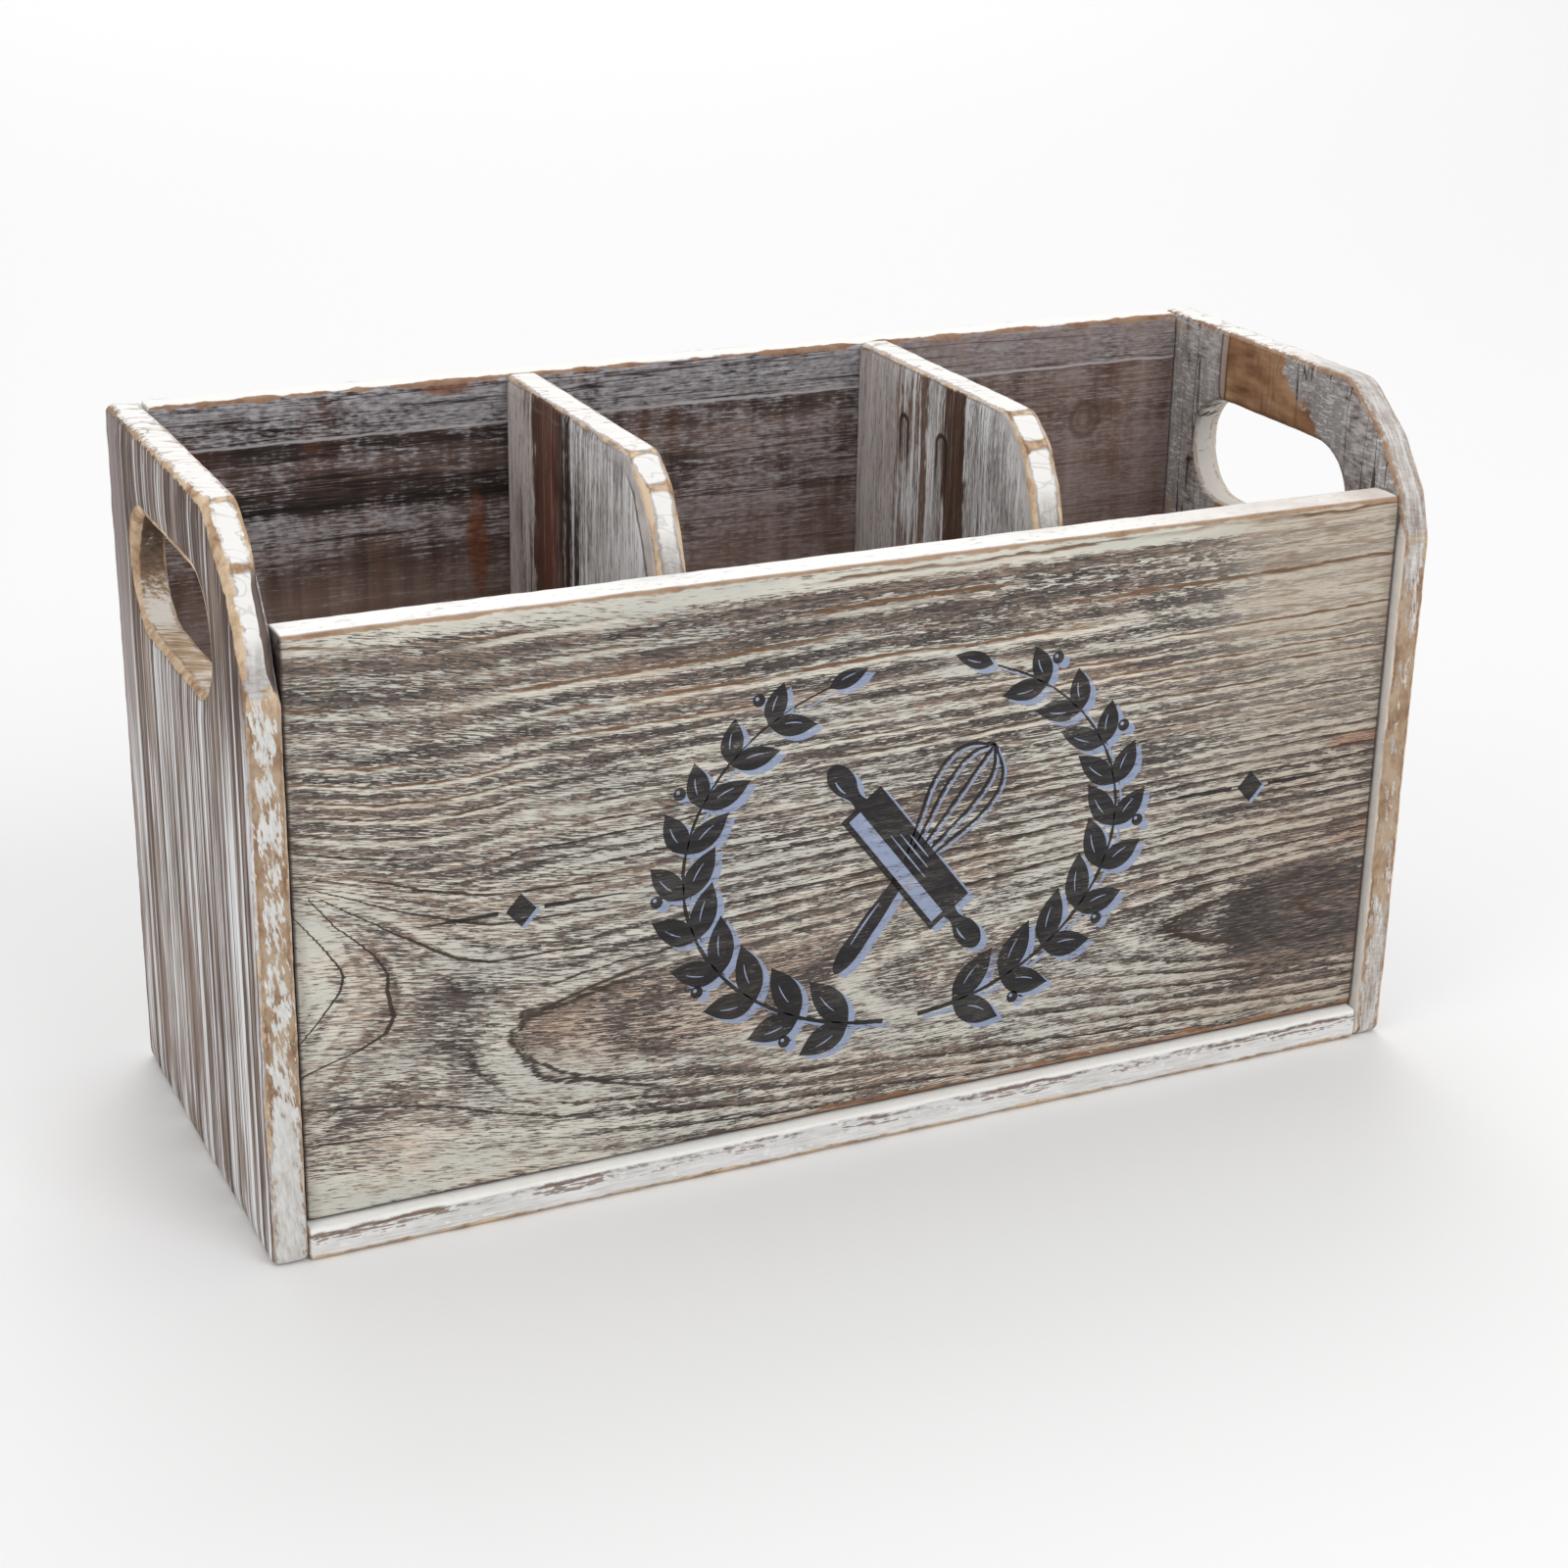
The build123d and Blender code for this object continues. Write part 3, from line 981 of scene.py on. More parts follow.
def back_finish(name, seed):
    wood = Finish(name)
    x, y, z = wood.axes
    bands, hairs, specks, patches, upright, reddish = wood.clouds(
        seed, (260, 12, 6, 3, 0.6), (12, 1.6, 0.5, 4, 0.75), (2.2, 2, 0.9, 2), (30, 30, 14, 3),
        (5, 8, 60, 3, 0.6), (16, 30, 40, 2),
    )
    waver = wood.cloud((9, 8, 8, 3), seed + 7)

    burnt = wood.ramp(
        bands * 0.7 + hairs * 0.7 + upright * 0.15 + 0.5, (0.15, 36, 29, 28), (0.4, 64, 51, 47),
        (0.62, 98, 80, 73), (0.85, 136, 117, 109),
    )
    rust = wood.ramp(
        hairs * 0.8 + bands * 0.5 + 0.5, (0.2, 70, 45, 37), (0.6, 116, 80, 63), (0.9, 150, 118, 102),
    )
    wet = (reddish + hairs * 0.2 + z.fall(100, 150) * 0.1).rise(0.05, 0.5) * 0.8
    base = wood.mix(wet, burnt, rust)
    top_band = z.rise(174.5, 176)
    dry = hairs * 0.95 + patches * 0.8 + specks * 0.45 + bands * 0.35 + upright * 0.3 - reddish * 0.25
    rear = y.rise(57, 60)
    inside = 1 - rear
    bay_dry = x.rise(60, 80) * 0.22 + top_band * 0.42 + z.fall(92, 150) * 0.3 + x.rise(-50, 0) * 0.08
    dry = dry + bay_dry * inside + rear * (0.16 + bands * 0.7)
    frost = wood.ramp(
        hairs * 0.8 + specks * 0.5 + 0.5, (0.15, 112, 104, 104), (0.45, 160, 156, 160),
        (0.8, 206, 206, 212),
    )
    washed = wood.mix(hairs * 1.1 + specks * 0.5 + 0.5, (142, 131, 123), (214, 209, 202))
    frost = wood.mix(rear, frost, washed)
    face = wood.mix(dry.rise(-0.1, 0.45) * 0.85, base, frost)
    face = wood.mix(crack(bands + hairs * 0.03, 0.03) * 0.85, face, (30, 24, 23))
    haze = x.rise(50, 72) * 0.5 + z.fall(118, 152) * 0.6 + x.rise(-56, -50) * 0.15 - top_band * 0.2
    haze = haze + z.fall(120, 152) * x.fall(-60, -50) * 0.55 + x.rise(-52, -46) * x.fall(46, 52) * 0.12
    haze = least(haze + patches * 0.3 + upright * 0.3 + bands * 0.25, 0.72)
    hazy = wood.mix(upright + 0.5, (122, 96, 86), (158, 135, 125))
    face = wood.mix(haze * inside, face, hazy)
    for spot_x, spot_z, half_x, half_z in amber_spots:
        away = ((x + waver * 2.2 + hairs * 0.7 - spot_x) / half_x) ** 2 + ((z - spot_z) / half_z) ** 2
        amber = wood.mix(specks + hairs * 0.5 + 0.5, (98, 58, 38), (156, 92, 54))
        face = wood.mix(away.fall(0.2, 2.4) * (0.8 + hairs * 0.3) * inside, face, amber)
    rim_line = abs(z - 175 - waver * 0.7).fall(0.15, 0.6)
    face = wood.mix(rim_line * inside * 0.65, face, (214, 212, 214))
    knot = ((x - knot_place[0]) ** 2 + (z - knot_place[1]) ** 2) ** 0.5 + waver * 1.2
    knot = knot + hairs * 1.6
    face = wood.mix(knot.fall(4, 7) * 0.4, face, (132, 108, 92))
    rings = abs(knot - 4.6).fall(0.2, 1.6) * 0.45 + abs(knot - 2.4).fall(0.2, 1.0) * 0.25
    face = wood.mix(rings, face, (52, 42, 39))

    top = height - z
    slab = least(half_depth - y, y - bay_back)
    flecks = wood.cloud((3.2, 1.5, 1.2, 3), seed + 6)
    level = flecks * 0.7 + waver * 0.6 + 0.5
    edge = wood.mix(level.past(0.1), sanded_wood(wood, seed + 8), wash_white)
    skin = wood.mix((slab - top).past(), face, edge)
    width = 1.3 + waver * 1.8 + flecks * 0.5
    sanded = (width - most(slab, top)).past()
    amber = wood.mix(0.7, sanded_wood(wood, seed + 9), (128, 86, 62))
    skin = wood.mix(sanded, skin, amber)
    wood.show(skin, hairs * 0.1 + bands * 0.08 - sanded * 0.1, 0.7)
    return wood


# %% The bottom
def bottom_finish(name, seed):
    wood = Finish(name)
    y, z = wood.y, wood.z
    bands, hairs, patches, flecks, waver = wood.clouds(
        seed, (160, 5, 3, 3, 0.6), (10, 0.9, 0.6, 3, 0.65), (26, 14, 7, 3), (2.4, 1.5, 1.3, 3),
        (12, 8, 8, 3),
    )

    bare = wood.ramp(
        bands * 0.7 + hairs * 0.6 + 0.5, (0.15, 92, 74, 64), (0.5, 146, 122, 104),
        (0.8, 188, 158, 130),
    )
    paint = wood.ramp(
        hairs * 0.6 + patches * 0.4 + 0.55, (0.1, 172, 168, 164), (0.4, 218, 216, 214),
        (0.75, 242, 241, 240),
    )
    scallops = wood.cloud((3.4, 2, 2.2, 1), seed + 5)
    paint = wood.mix(scallops.rise(0.28, 0.36) * 0.75, paint, (244, 243, 240))
    level = 0.55 + patches * 0.9 + flecks * 0.5 + hairs * 0.4
    face = wood.mix(level.past(0.12), bare, paint)
    rubbed_line = abs(z - 7.4 - waver * 1.2).fall(0.15, 0.7)
    rubbed_line = rubbed_line * (patches + flecks * 0.5 + 0.45).rise(0.2, 0.6)
    face = wood.mix(rubbed_line * 0.85, face, (98, 78, 64))
    rubbed_spots = (z.rise(3, 6.5) * (hairs * 1.4 + patches * 0.8 + flecks * 0.6 + 0.08)).rise(0.2, 0.34)
    brown = wood.mix(flecks + 0.5, (96, 76, 64), (146, 122, 106))
    face = wood.mix(rubbed_spots * 0.85, face, brown)
    # Painted highlight: the top arris's white paint is lifted to near-pure white where the arris faces
    # up.
    face = wood.mix((z - 8.1 - waver * 0.6).past(0.3) * 0.9, face, (253, 252, 248))
    front_depth = y + half_depth
    width = 1.5 + waver * 1.1 + flecks * 0.5
    sanded = (width - most(front_depth, z)).past()
    skin = wood.mix(sanded, face, sanded_wood(wood, seed + 9))
    wood.show(skin, bands * 0.1 + hairs * 0.08 + flecks * 0.05 - sanded * 0.12, 0.7)
    return wood


back_finish("back_wood", 91).dress(back_board)
bottom_finish("bottom_wood", 111).dress(bottom_board)

# %% [markdown]
# ## The front board's finish
# The front is flat-sawn, so its rings are seen as nested tongues. A ring's distance from the tree's
# middle is worked out from two curves along the board: how high the middle runs, and how deep under
# the face it lies. Each ring starts pale and ends in brown dashes and one dark line. The lines that
# stand out alone are drawn through measured points.

# %% Rings of the front board
middle_height = 45.0
swirl_lift = 28.0
swirl_place = -115.0


def ring_radius(wood):
    """The tree's radius at a point of the front face, in millimetres."""
    x, z = wood.x, wood.z
    seam = 98 - (x + 155) * 0.27
    lift = x.fall(-150, -85) * swirl_lift * (z - seam).fall(-8, 8) * z.rise(12, 62)
    hump = 32.4 + (2.6 - ((x - swirl_place) ** 2) * 0.009) * z.rise(22, 50)
    taper = 32.4 - (x + 98) * 0.088
    depth = wood.blend(x.rise(-99, -97), hump, most(taper, 4.0))
    drift = wood.cloud((120, 40, 50, 1), 131) * 1.6
    fibre = wood.cloud((7, 3, 0.5, 2), 132) * 0.75
    ripple = wood.cloud((16, 10, 8, 2), 133) * 0.8
    return ((z - middle_height - lift) ** 2 + depth ** 2) ** 0.5 + drift + fibre + ripple


def ring_age(wood, radius, flow):
    """How old a ring was at this radius: 0 in spring, 1 in autumn."""
    uneven = wood.cloud((900, 900, 7, 1), 134, flow) * 1.4
    grown = radius + uneven
    count = grown * 0.333 - most(grown - 63, 0.0) * 0.1 - most(grown - 90, 0.0) * 0.09
    return count.part()


def spot(wood, x0, z0, half_x, half_z):
    """1 at a place on the front, falling to 0 about these half sizes away."""
    away = ((wood.x - x0) / half_x) ** 2 + ((wood.z - z0) / half_z) ** 2
    return away.fall(0.25, 1.7)


# %% The front's lone lines
def tongue_line(wood, x, z):
    """The serrated outline of the tongue that opens to the right: how far right of it a point is."""
    over = z - 49.4
    bend = wood.blend(over.past(0.5), 11.7, 5.3)
    jagged = wood.cloud((30, 3, 0.9, 2), 147) * 4.0
    return (x + 100.4 + jagged - over ** 2 / bend) / (1 + (over * 2 / bend) ** 2) ** 0.5


lines_along_x = (  # x, z and half width
    ((-148, 95.3, 0.2), (-141, 90.5, 0.25), (-135, 86.7, 0.3), (-130, 83.1, 0.35), (-124, 79.7, 0.5),
     (-120, 77.0, 0.6), (-114.5, 73.9, 0.6), (-106.5, 71.6, 0.55), (-98.3, 71.4, 0.4), (-89, 71.4, 0.3),
     (-78.6, 70.7, 0.3), (-67.8, 70.2, 0.25), (-55, 69.4, 0.15)),
    ((-149, 97.7, 0.15), (-140, 93.9, 0.25), (-133, 90.7, 0.25), (-126.5, 88.1, 0.3), (-121, 86.3, 0.4),
     (-114, 83.8, 0.45), (-105, 81.3, 0.4), (-98, 81.0, 0.35), (-90, 81.0, 0.3), (-70, 80.2, 0.15)),
    ((-137, 98.8, 0.15), (-131, 96.5, 0.25), (-125, 94.3, 0.3), (-119, 92.4, 0.35), (-113, 90.9, 0.35),
     (-107, 89.5, 0.35), (-100, 89.0, 0.3), (-86, 88.6, 0.25), (-66, 87.5, 0.15)),
    ((-155, 40.4, 0.15), (-147, 39.4, 0.25), (-134, 37.5, 0.25), (-121, 35.1, 0.3), (-112, 32.0, 0.3),
     (-100, 28.1, 0.35), (-88, 25.1, 0.3), (-70, 23.5, 0.15)),
    ((-155, 30.8, 0.15), (-145, 29.9, 0.3), (-130, 28.8, 0.15)),
)
lines_along_z = (  # z, x and half width
    ((49.6, -155, 0.9), (51.7, -148.7, 0.9), (53.9, -140.8, 0.9), (57.2, -133.6, 0.8),
     (61.4, -131.3, 0.75), (68.3, -132.6, 0.6), (73.3, -132.4, 0.45), (78.5, -135.5, 0.4),
     (82.9, -139.7, 0.35), (87.5, -144.7, 0.3), (95.8, -151, 0.2)),
    ((58.4, -155.1, 0.3), (60.9, -152.7, 0.35), (64.9, -149, 0.35), (70.5, -144.5, 0.4),
     (74.4, -143.4, 0.4), (76.9, -144.2, 0.35), (83.1, -148.3, 0.3), (88.4, -152.3, 0.25),
     (92.1, -155.1, 0.2)),
)


offset_span = 400.0  # millimetres that a ramp's red runs through, so that it can hold an offset


def traced(wood, along, offset, stops):
    """1 on a line drawn through stops, each a place along the board, an offset and a half width."""
    first, span = stops[0][0], stops[-1][0] - stops[0][0]
    shades = [((at - first) / span, off / offset_span + 0.5, half, 0.0, 1.0) for at, off, half in stops]
    found = wood.node("ShaderNodeSeparateColor", values={0: wood.ramp((along - first) / span, *shades)})
    half_width = Signal(wood, found.socket.node.outputs["Green"])
    away = abs(offset - (found - 0.5) * offset_span) / half_width
    last = first + span
    return away.fall(0.6, 1.2) * along.rise(first - 1, first) * along.fall(last, last + 1)


# %% Wash and rubbing of the front board
def front_skin(wood):
    """The front board's colour and its rings' age, shared by the board and the print on it."""
    x, y, z = wood.axes
    radius = ring_radius(wood)
    flow = wood.point(x, y, radius)
    grain = wood.point(x, y, z + x.fall(-150, -30) * x * 0.09)
    age = ring_age(wood, radius, flow)
    hairs, dashes = wood.clouds(141, (4.6, 3, 0.31, 2, 0.6), (12, 3, 0.75, 3, 0.7), at=grain)
    strokes = wood.cloud((9, 3, 0.5, 3, 0.65), 148, grain)
    streaks = wood.cloud((34, 20, 2.4, 3, 0.6), 143, flow)
    patches = wood.cloud((34, 20, 12, 3), 144)
    tones, boldness = wood.clouds(145, (40, 20, 5, 3), (46, 20, 3.4, 2), at=flow)
    crisp = wood.cloud((5, 3, 0.42, 3, 0.7), 152, grain)
    crackle = crack(wood.cloud((8, 3, 1.3, 2), 153, grain) + crisp * 0.15, 0.24)
    tongue = tongue_line(wood, x, z)

    left = x.fall(-100, -50)
    right = x.rise(70, 130)
    calm = right * z.rise(88, 95)
    corner = x.rise(98, 116) * z.rise(122, 132)
    top_band = z.rise(139, 144) * z.fall(154, 158)
    lens = top_band * x.rise(-30, 60) * x.fall(104, 122)
    between_arcs = spot(wood, -114, 58, 13, 11) * tongue.fall(-2, 0)
    smudge = spot(wood, 136, 42, 26, 15)
    flame = spot(wood, -58, 50, 46, 12) * tongue.rise(0, 1)
    clusters = x.fall(-90, -60) * z.rise(104, 112)
    pale = (spot(wood, -151, 78, 7, 12) + spot(wood, -146, 95, 9, 4)) * 0.45 + z.rise(156, 158.5) * 1.2
    pale = pale + left * z.fall(18, 34) * 0.3
    inside = radius.fall(30, 31.5) * x.fall(30, 60)
    upper = z.rise(98, 108)

    late = age.rise(0.25, 0.92) * (1 - left * z.fall(88, 100) * 0.75) * (1 - inside * 0.7) * (1 - upper)
    early = age.rise(0.02, 0.22) * age.fall(0.42, 0.64) * upper
    serration = wood.cloud((5, 3, 0.6, 2), 136) * 0.45
    drawn_lines = most(
        *(traced(wood, x, z + serration, stops) for stops in lines_along_x),
        *(traced(wood, z, x + serration, stops) for stops in lines_along_z),
    )
    outline = abs(tongue).fall(0.25, 0.8) * x.fall(-66, -50)
    line = age.rise(0.80, 0.91) * age.fall(0.97, 1.0) * (1 - inside * 0.8)
    faint = x.fall(-80, -45) * z.fall(96, 104) * 0.7
    line = line * (boldness * 2.8 + 0.62 + calm * 0.5 - faint).rise(0.0, 1.0)
    line = most(line, drawn_lines, outline)

    dark = wood.ramp(
        hairs * 0.9 + tones * 0.4 + strokes * 0.5 + crisp * 0.5 + 0.46 + lens * 0.06,
        (0.12, 38, 35, 35), (0.38, 66, 60, 59), (0.60, 104, 92, 86), (0.85, 160, 136, 118),
    )
    slow = streaks * 0.5 + patches * 0.38 + late * 0.42 + early * 0.42 - upper * 0.02 - 0.05
    slow = slow + lens * 0.75 + (top_band - lens) * 0.2 + between_arcs * 0.2 + clusters * 0.1
    slow = slow + smudge * 0.85 + flame * 0.2 - calm * 0.02 - pale * 0.6 - corner * 0.35
    level = hairs * (1.35 + upper * 0.3 - right * 0.3) + dashes * 0.8 + slow * (1 - upper * left * 0.3)
    level = level + crisp * 0.55 - crackle * lens * 0.7
    cream = wood.mix(patches.past(0.4), (208, 207, 197), (228, 223, 210))
    tanned = (strokes * 0.9 + patches * 0.5 + tones * 0.4 + flame * 0.3).rise(0.12, 0.5) * 0.6
    glow = age.rise(0.6, 0.7) * age.fall(0.78, 0.84) * upper * (1 - right) * (1 - lens)
    glow = glow * (boldness * 2 + 0.4).rise(0, 1)
    cover = level.rise(-0.04, 0.08) * (0.97 - calm * 0.25 - corner * 0.4) * (1 - glow * 0.8)
    wavy = crack(wood.cloud((50, 20, 2.6, 2), 149), 0.09) * corner
    rusty = (spot(wood, 149, 93, 11, 2.4) + spot(wood, 150, 66, 9, 5) * 0.6) * (strokes + 0.7)
    cream = wood.coats(
        cream,
        ((top_band - lens) * 0.4, (186, 184, 174)),
        (right * 0.85, (198, 186, 169)),
        (flame * 0.6, (210, 186, 168)),
        (level.rise(-0.6, 0.05) * 0.25, (148, 140, 130)),
        (tanned, (190, 158, 130)),
        (wavy * 0.6, (150, 124, 102)),
        ((hairs + crisp * 0.6).rise(0.0, 0.5) * corner * 0.55, (126, 106, 90)),
        (least(rusty, 0.7), (168, 112, 80)),
        (glow * 0.6, (238, 229, 212)),
    )
    skin = wood.mix(cover, cream, dark)
    ochre = z.rise(104, 126) * (0.85 - right * 0.3) + right * 0.15
    shade = wood.mix(ochre, (58, 46, 40), (126, 92, 62))
    skin = wood.mix(line * 0.94, skin, shade)
    edge_shadow = (half_inside - abs(x)).fall(0.6, 5.0) * 0.3
    return wood.mix(edge_shadow, skin, (92, 76, 64)), age


# %% The front
def front_finish(name):
    wood = Finish(name)
    x, y, z = wood.axes
    skin, age = front_skin(wood)
    flecks, waver = wood.clouds(150, (3, 1.5, 1.3, 3), (12, 8, 8, 3))
    top = front_top - z
    slab = least(y - front_face, bay_front - y)
    white_edge = wood.ramp(flecks * 0.8 + 0.7, (0.2, 202, 201, 202), (0.6, 252, 250, 247))
    white_edge = wood.mix(x.rise(40, 150) * (waver * 0.6 + 0.5), white_edge, (196, 180, 168))
    skin = wood.mix((slab - top).past(), skin, white_edge)
    gap = most(y - front_face, top)
    sanded = (1.3 + waver * 1.1 + flecks * 0.5 - gap).past(0.3) * (y - front_face).fall(0.6, 1.2)
    amber = wood.mix(0.7, sanded_wood(wood, 152), (142, 100, 68))
    skin = wood.mix(sanded * 0.9, skin, amber)
    foot = z - bay_floor
    rub = (2.2 + waver * 3.0 + flecks - foot).past(0.5) * x.rise(-60, 0)
    skin = wood.mix(rub * 0.8, skin, (150, 110, 80))
    joint = least(foot, half_inside - abs(x))
    skin = wood.mix(joint.fall(0.5, 1.3) * 0.85, skin, (58, 46, 40))
    wood.show(skin, age * 0.1 - sanded * 0.1, 0.6)
    return wood


front_finish("front_wood").dress(front_board)


# %% [markdown]
# ## The print on the front
# The front carries a print in black and slate blue, a few hundredths of a millimetre thick. Here it
# is a wreath of leaves round a crossed whisk and rolling pin, and on each side a diamond between two
# rules that run out to points. Filled shapes are flat closed curves, and strokes are round curves
# with tapered points, pressed flat. Each is drawn on the floor plane, made a mesh, and stood up
# against the board.

# %% Drawing with ink
ink_height = {"shadow": 0.03, "black": 0.06, "blue": 0.09}
ink_root = 0.05
ink = {"black": [], "blue": []}
shadow_shift = (1.9, -1.5)
small_shift = (0.9, -0.8)
all_four = (0, 1, 2, 3)


def drawn(points, closed):
    """A Bezier curve on the floor plane through (x, z) points in millimetres."""
    deselect()
    bpy.ops.curve.primitive_bezier_curve_add()
    shape = bpy.context.object
    shape.data.splines.clear()
    line = shape.data.splines.new("BEZIER")
    line.bezier_points.add(len(points) - 1)
    line.use_cyclic_u = closed
    for knot, (x, z) in zip(line.bezier_points, points):
        knot.co = (x, z, 0)
        knot.handle_left_type = knot.handle_right_type = "AUTO"
    return shape


def press(shape, layer):
    """Makes a curve a mesh that stands on the board's face, as thick as its layer of ink."""
    pick(shape)
    bpy.ops.object.convert(target="MESH")
    piece = bpy.context.object
    heights = [vertex.co.z for vertex in piece.data.vertices]
    thickness = (ink_height[layer] + ink_root) / (max(heights) - min(heights))
    piece.data.transform(Matrix.Diagonal((1, 1, thickness, 1)))
    stand = Matrix.Rotation(math.pi / 2, 4, "X")
    middle_y = front_face - (ink_height[layer] - ink_root) / 2
    piece.data.transform(Matrix.Scale(mm, 4) @ Matrix.Translation((0, middle_y, 0)) @ stand)
    with edit_mode("SELECT"):
        bpy.ops.mesh.remove_doubles(threshold=0.002 * mm)
        bpy.ops.mesh.normals_make_consistent(inside=False)
    ink["black" if layer == "black" else "blue"].append(piece)


def blot(layer, points, sharp=()):
    """A filled shape. The points numbered in sharp are corners."""
    shape = drawn(points, closed=True)
    shape.data.dimensions = "2D"
    shape.data.fill_mode = "BOTH"
    shape.data.extrude = 1.0
    for index in sharp:
        knot = shape.data.splines[0].bezier_points[index]
        knot.handle_left_type = knot.handle_right_type = "VECTOR"
    press(shape, layer)


def stroke(layer, points, width, taper=(0.25, 1.0, 0.25)):
    """A pen stroke through points, whose width runs through the taper from end to end."""
    shape = drawn(points, closed=False)
    shape.data.bevel_depth = width / 2
    shape.data.bevel_resolution = 1
    shape.data.use_fill_caps = True
    knots = shape.data.splines[0].bezier_points
    stops = np.linspace(0, 1, len(taper))
    for index, knot in enumerate(knots):
        knot.radius = float(np.interp(index / (len(knots) - 1), stops, taper))
    press(shape, layer)


def turned(points, angle, place):
    """Points turned by an angle and moved to a place."""
    cosine, sine = math.cos(angle), math.sin(angle)
    return [(place[0] + x * cosine - z * sine, place[1] + x * sine + z * cosine) for x, z in points]


def moved(points, shift):
    return [(x + shift[0], z + shift[1]) for x, z in points]


def shadowed(draw, points, *details, shift=shadow_shift):
    """A black blot or stroke over its blue shadow."""
    draw("shadow", moved(points, shift), *details)
    draw("black", points, *details)


# %% Leaves and berries
leaf_outline = ((0.0, 0.0), (0.28, 0.42), (0.62, 0.40), (1.0, 0.0), (0.60, -0.44), (0.26, -0.40))
leaf_vein = ((0.2, 0.02), (0.5, 0.1), (0.8, 0.04))


def leaf(place, angle, long, wide):
    outline, vein = (
        turned([(x * long, z * wide) for x, z in points], angle, place)
        for points in (leaf_outline, leaf_vein)
    )
    shadowed(blot, outline, (0, 3))
    stroke("blue", vein, 0.55)


def disc(layer, place, radius):
    turns = np.arange(4) * math.pi / 2
    corners = [(radius * math.cos(turn), radius * math.sin(turn)) for turn in turns]
    blot(layer, moved(corners, place))


def berry(place, radius):
    """A black berry over its blue shadow, with a small blue light on it."""
    disc("shadow", moved([place], shadow_shift)[0], radius)
    disc("black", place, radius)
    disc("blue", (place[0] - radius * 0.3, place[1] + radius * 0.3), radius * 0.3)


# %% The wreath
wreath_middle = (8.0, 84.0)
wreath_half = (63.0, 50.0)
leaf_pairs = 10


def wreath_point(turn):
    """A point of the wreath's oval: 0 at the foot, 1 near the top on the right, -1 on the left."""
    angle = turn * math.radians(158) - math.pi / 2
    x = wreath_middle[0] + wreath_half[0] * math.cos(angle)
    return x, wreath_middle[1] + wreath_half[1] * math.sin(angle)


def heading(here, there):
    return math.atan2(there[1] - here[1], there[0] - here[0])


for side in (-1, 1):
    stem = [wreath_point(side * turn) for turn in np.linspace(0.03, 1.0, 14)]
    shadowed(stroke, stem, 1.3, (1.0, 0.8, 0.4))
    for index in range(leaf_pairs):
        turn = 0.09 + 0.8 * index / (leaf_pairs - 1)
        here = wreath_point(side * turn)
        way = heading(here, wreath_point(side * (turn + 0.02)))
        long = 19.0 - 6.0 * turn
        for lean in (-1, 1):
            share = 1.0 if lean == side else 0.86
            leaf(here, way + lean * math.radians(38), long * share, long * 0.46)
        if index % 2:
            out = way - side * math.radians(80)
            berry((here[0] + 7.5 * math.cos(out), here[1] + 7.5 * math.sin(out)), 1.7)
    tip = wreath_point(side * 1.0)
    leaf(tip, heading(wreath_point(side * 0.98), tip), 12.0, 5.0)

# %% The whisk
cross_angle = math.radians(52)
whisk_foot = (-19.0, 52.0)
whisk_wires = (-9.5, -5.2, 0.0, 5.2, 9.5)


def whisk_place(points):
    return turned(points, cross_angle, (wreath_middle[0] + whisk_foot[0], whisk_foot[1]))


whisk_grip = (
    (0, -1.7), (-1.5, 0), (0, 1.7), (14, 2.6), (26, 1.9), (29, 1.9), (29, -1.9), (26, -1.9), (14, -2.6),
)
shadowed(blot, whisk_place(whisk_grip))
stroke("blue", whisk_place([(2, 0.6), (14, 1.3), (25, 0.9)]), 0.9)
blot("black", whisk_place([(29, -2.6), (29, 2.6), (32, 2.3), (32, -2.3)]), all_four)
for reach in whisk_wires:
    bulge = ((31, 0.14), (44, 0.62), (57, 1), (66, 0.82), (71.5, 0))
    wire = whisk_place([(along, reach * share) for along, share in bulge])
    stroke("shadow", moved(wire, small_shift), 1.0, (0.9, 0.9))
    stroke("black", wire, 1.05, (0.9, 0.9))

# %% The rolling pin
pin_half = 22.0
pin_radius = 7.0
pin_neck = (  # how far past the barrel's end, and how far from its middle line
    (0, -2.0), (2.5, -1.6), (8, -3.4), (13, -2.4), (14.5, 0), (13, 2.4), (8, 3.4), (2.5, 1.6), (0, 2.0),
)
pin_shine = ((4, 0.9), (8, 1.7), (12, 1.1))


def pin_place(points):
    return turned(points, math.pi - cross_angle, (wreath_middle[0], 80.0))


def bar(half, low, high):
    return pin_place([(-half, low), (-half, high), (half, high), (half, low)])


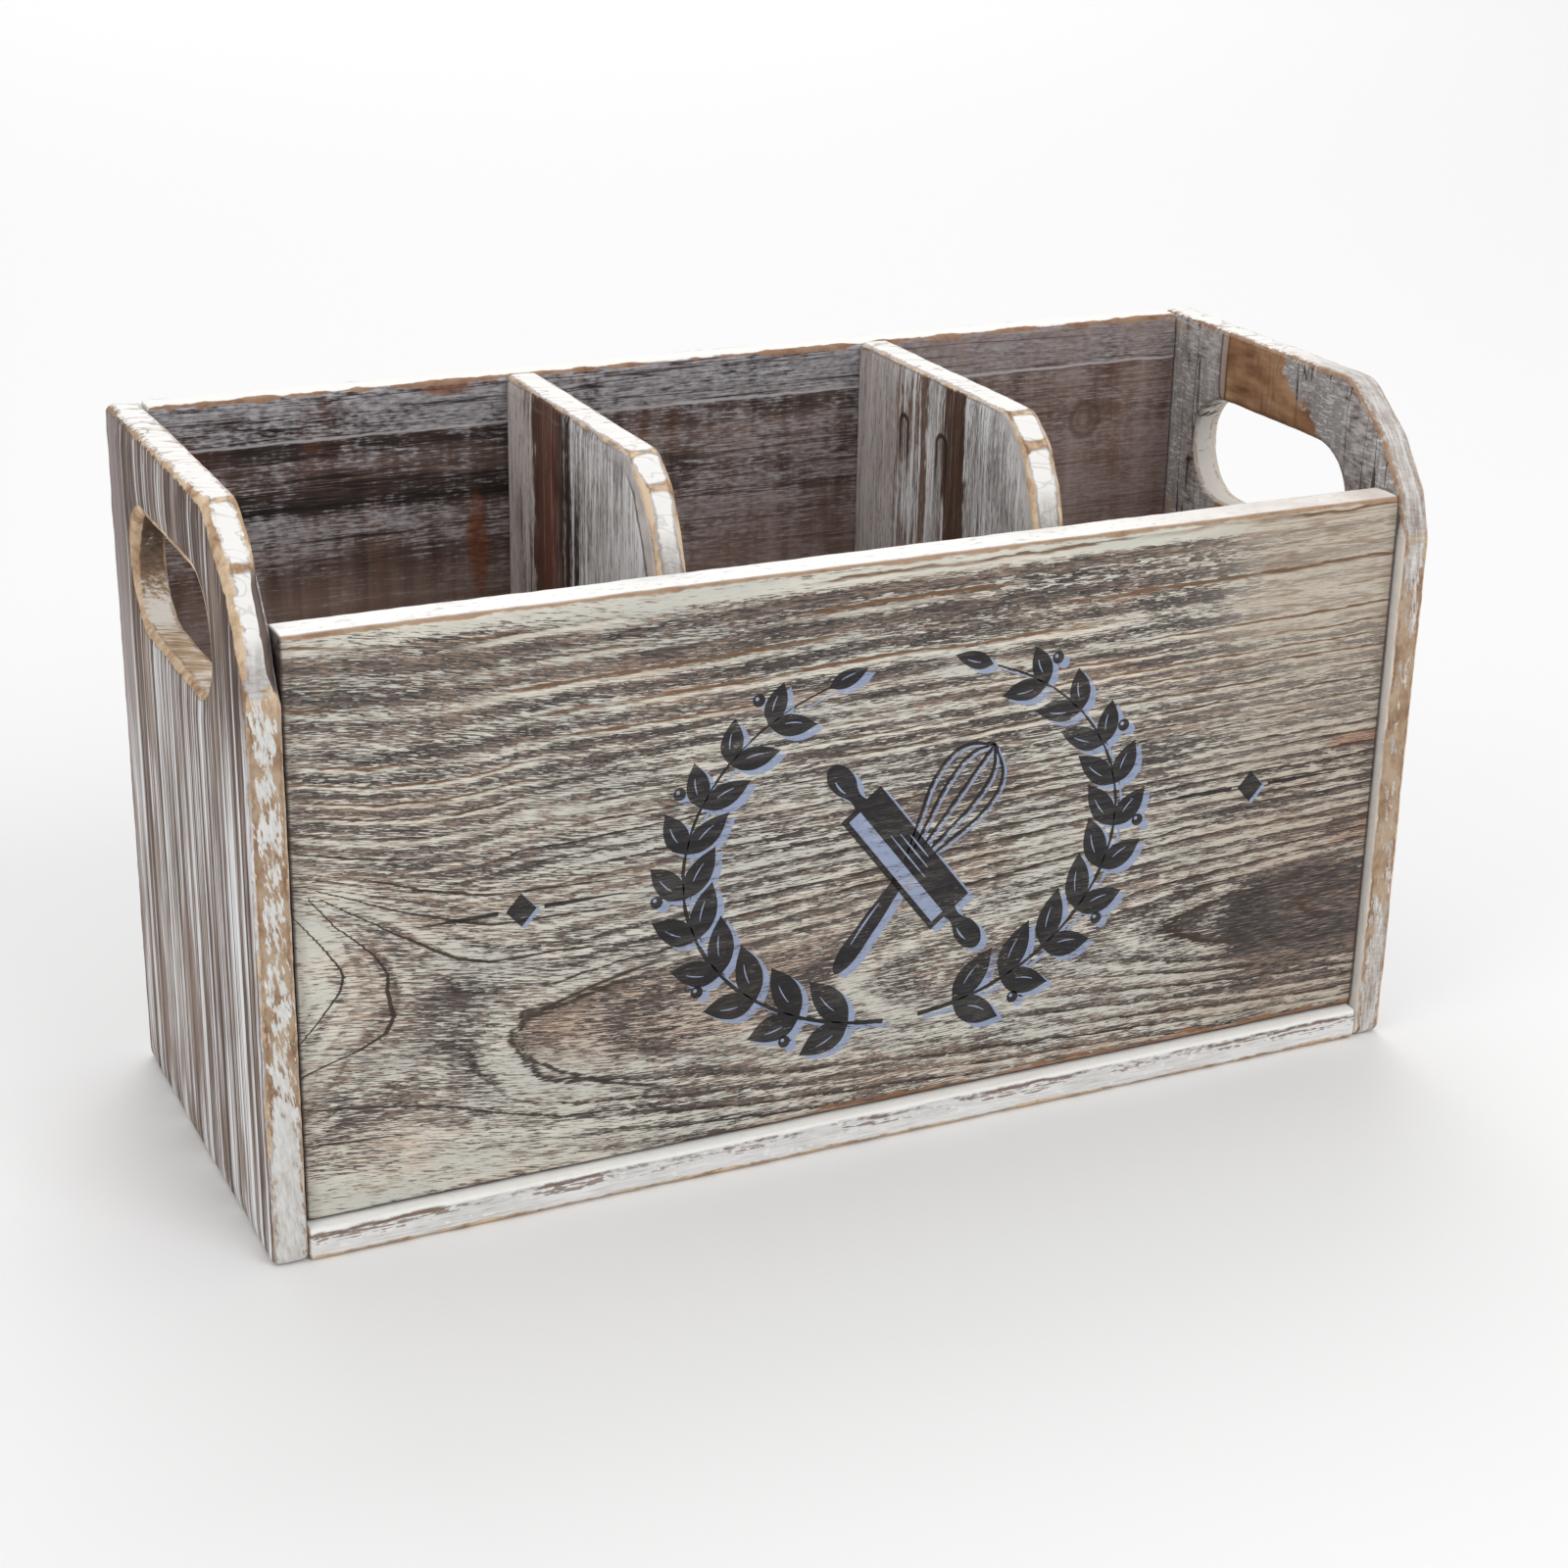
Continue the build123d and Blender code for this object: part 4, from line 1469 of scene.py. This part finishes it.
shadowed(blot, bar(pin_half, -pin_radius, pin_radius), all_four)
blot("blue", bar(pin_half - 1.6, 1.4, 5.4), all_four)
for up, long in ((-0.8, 15.0), (-3.0, 12.0), (-4.9, 8.0)):
    stroke("blue", pin_place([(-long, up), (0, up), (long, up)]), 0.7)
for end in (-1, 1):
    neck, shine = (
        pin_place([(end * (pin_half + out), up) for out, up in points])
        for points in (pin_neck, pin_shine)
    )
    shadowed(blot, neck, (0, 8))
    stroke("blue", shine, 0.8)

# %% A diamond between two rules on each side
rule_reach = 27.0
for x in (-98.0, 114.0):
    for run in (-1, 1):
        rule = [(x + run * out, 84) for out in (6, rule_reach / 2, rule_reach)]
        stroke("black", rule, 1.1, (1.0, 1.0, 0.2))
    shadowed(blot, [(x - 4, 84), (x, 88.5), (x + 4, 84), (x, 79.5)], all_four, shift=small_shift)


# %% One piece for each ink
def ink_finish(name, shade, wear_level):
    """Ink that follows the front's grain, and has gone where the grain is rubbed most."""
    wood = Finish(name, roughness=0.6)
    skin, age = front_skin(wood)
    specks, clouding = wood.clouds(161, (2.6, 3, 0.4, 3, 0.6), (18, 3, 9, 2))
    worn = (specks + age * 0.25 + clouding * 0.3).rise(wear_level, wear_level + 0.25)
    tinted = wood.mix(clouding + 0.5, shade, wood.mix(0.12, shade, skin))
    wood.show(wood.mix(worn * 0.8, tinted, skin), age * 0.1, 0.4)
    return wood


def one_piece(name, parts, finish):
    pick(parts[0])
    for part in parts:
        part.select_set(True)
    bpy.ops.object.join()
    piece = bpy.context.object
    piece.name = name
    finish.dress(piece)
    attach(piece, "root")
    print(name, "has", len(piece.data.polygons), "faces")
    return piece


one_piece("black_print", ink["black"], ink_finish("black_ink", (30, 28, 31), 0.42))
one_piece("blue_print", ink["blue"], ink_finish("blue_ink", (150, 163, 192), 0.2))

# %% [markdown]
# ## The brads' finish
# The brads are sunk under filler and can't be seen, but they keep their place in the model, so they
# get the dull galvanised steel of real ones.

# %% Galvanised steel
def brad_steel():
    steel = Finish("galvanised_wire", roughness=0.45)
    steel.shader.inputs["Metallic"].default_value = 1.0
    spangle = steel.cloud((0.6, 0.6, 0.6, 3), 160)
    shade = steel.ramp(spangle * 0.6 + 0.5, (0.2, 140, 140, 138), (0.8, 190, 189, 184))
    steel.show(shade, spangle * 0.02, 0.5)
    return steel


galvanised = brad_steel()
for node in ("left_end_brads", "right_end_brads", "back_brads", "bottom_brads"):
    galvanised.dress(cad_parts[node])
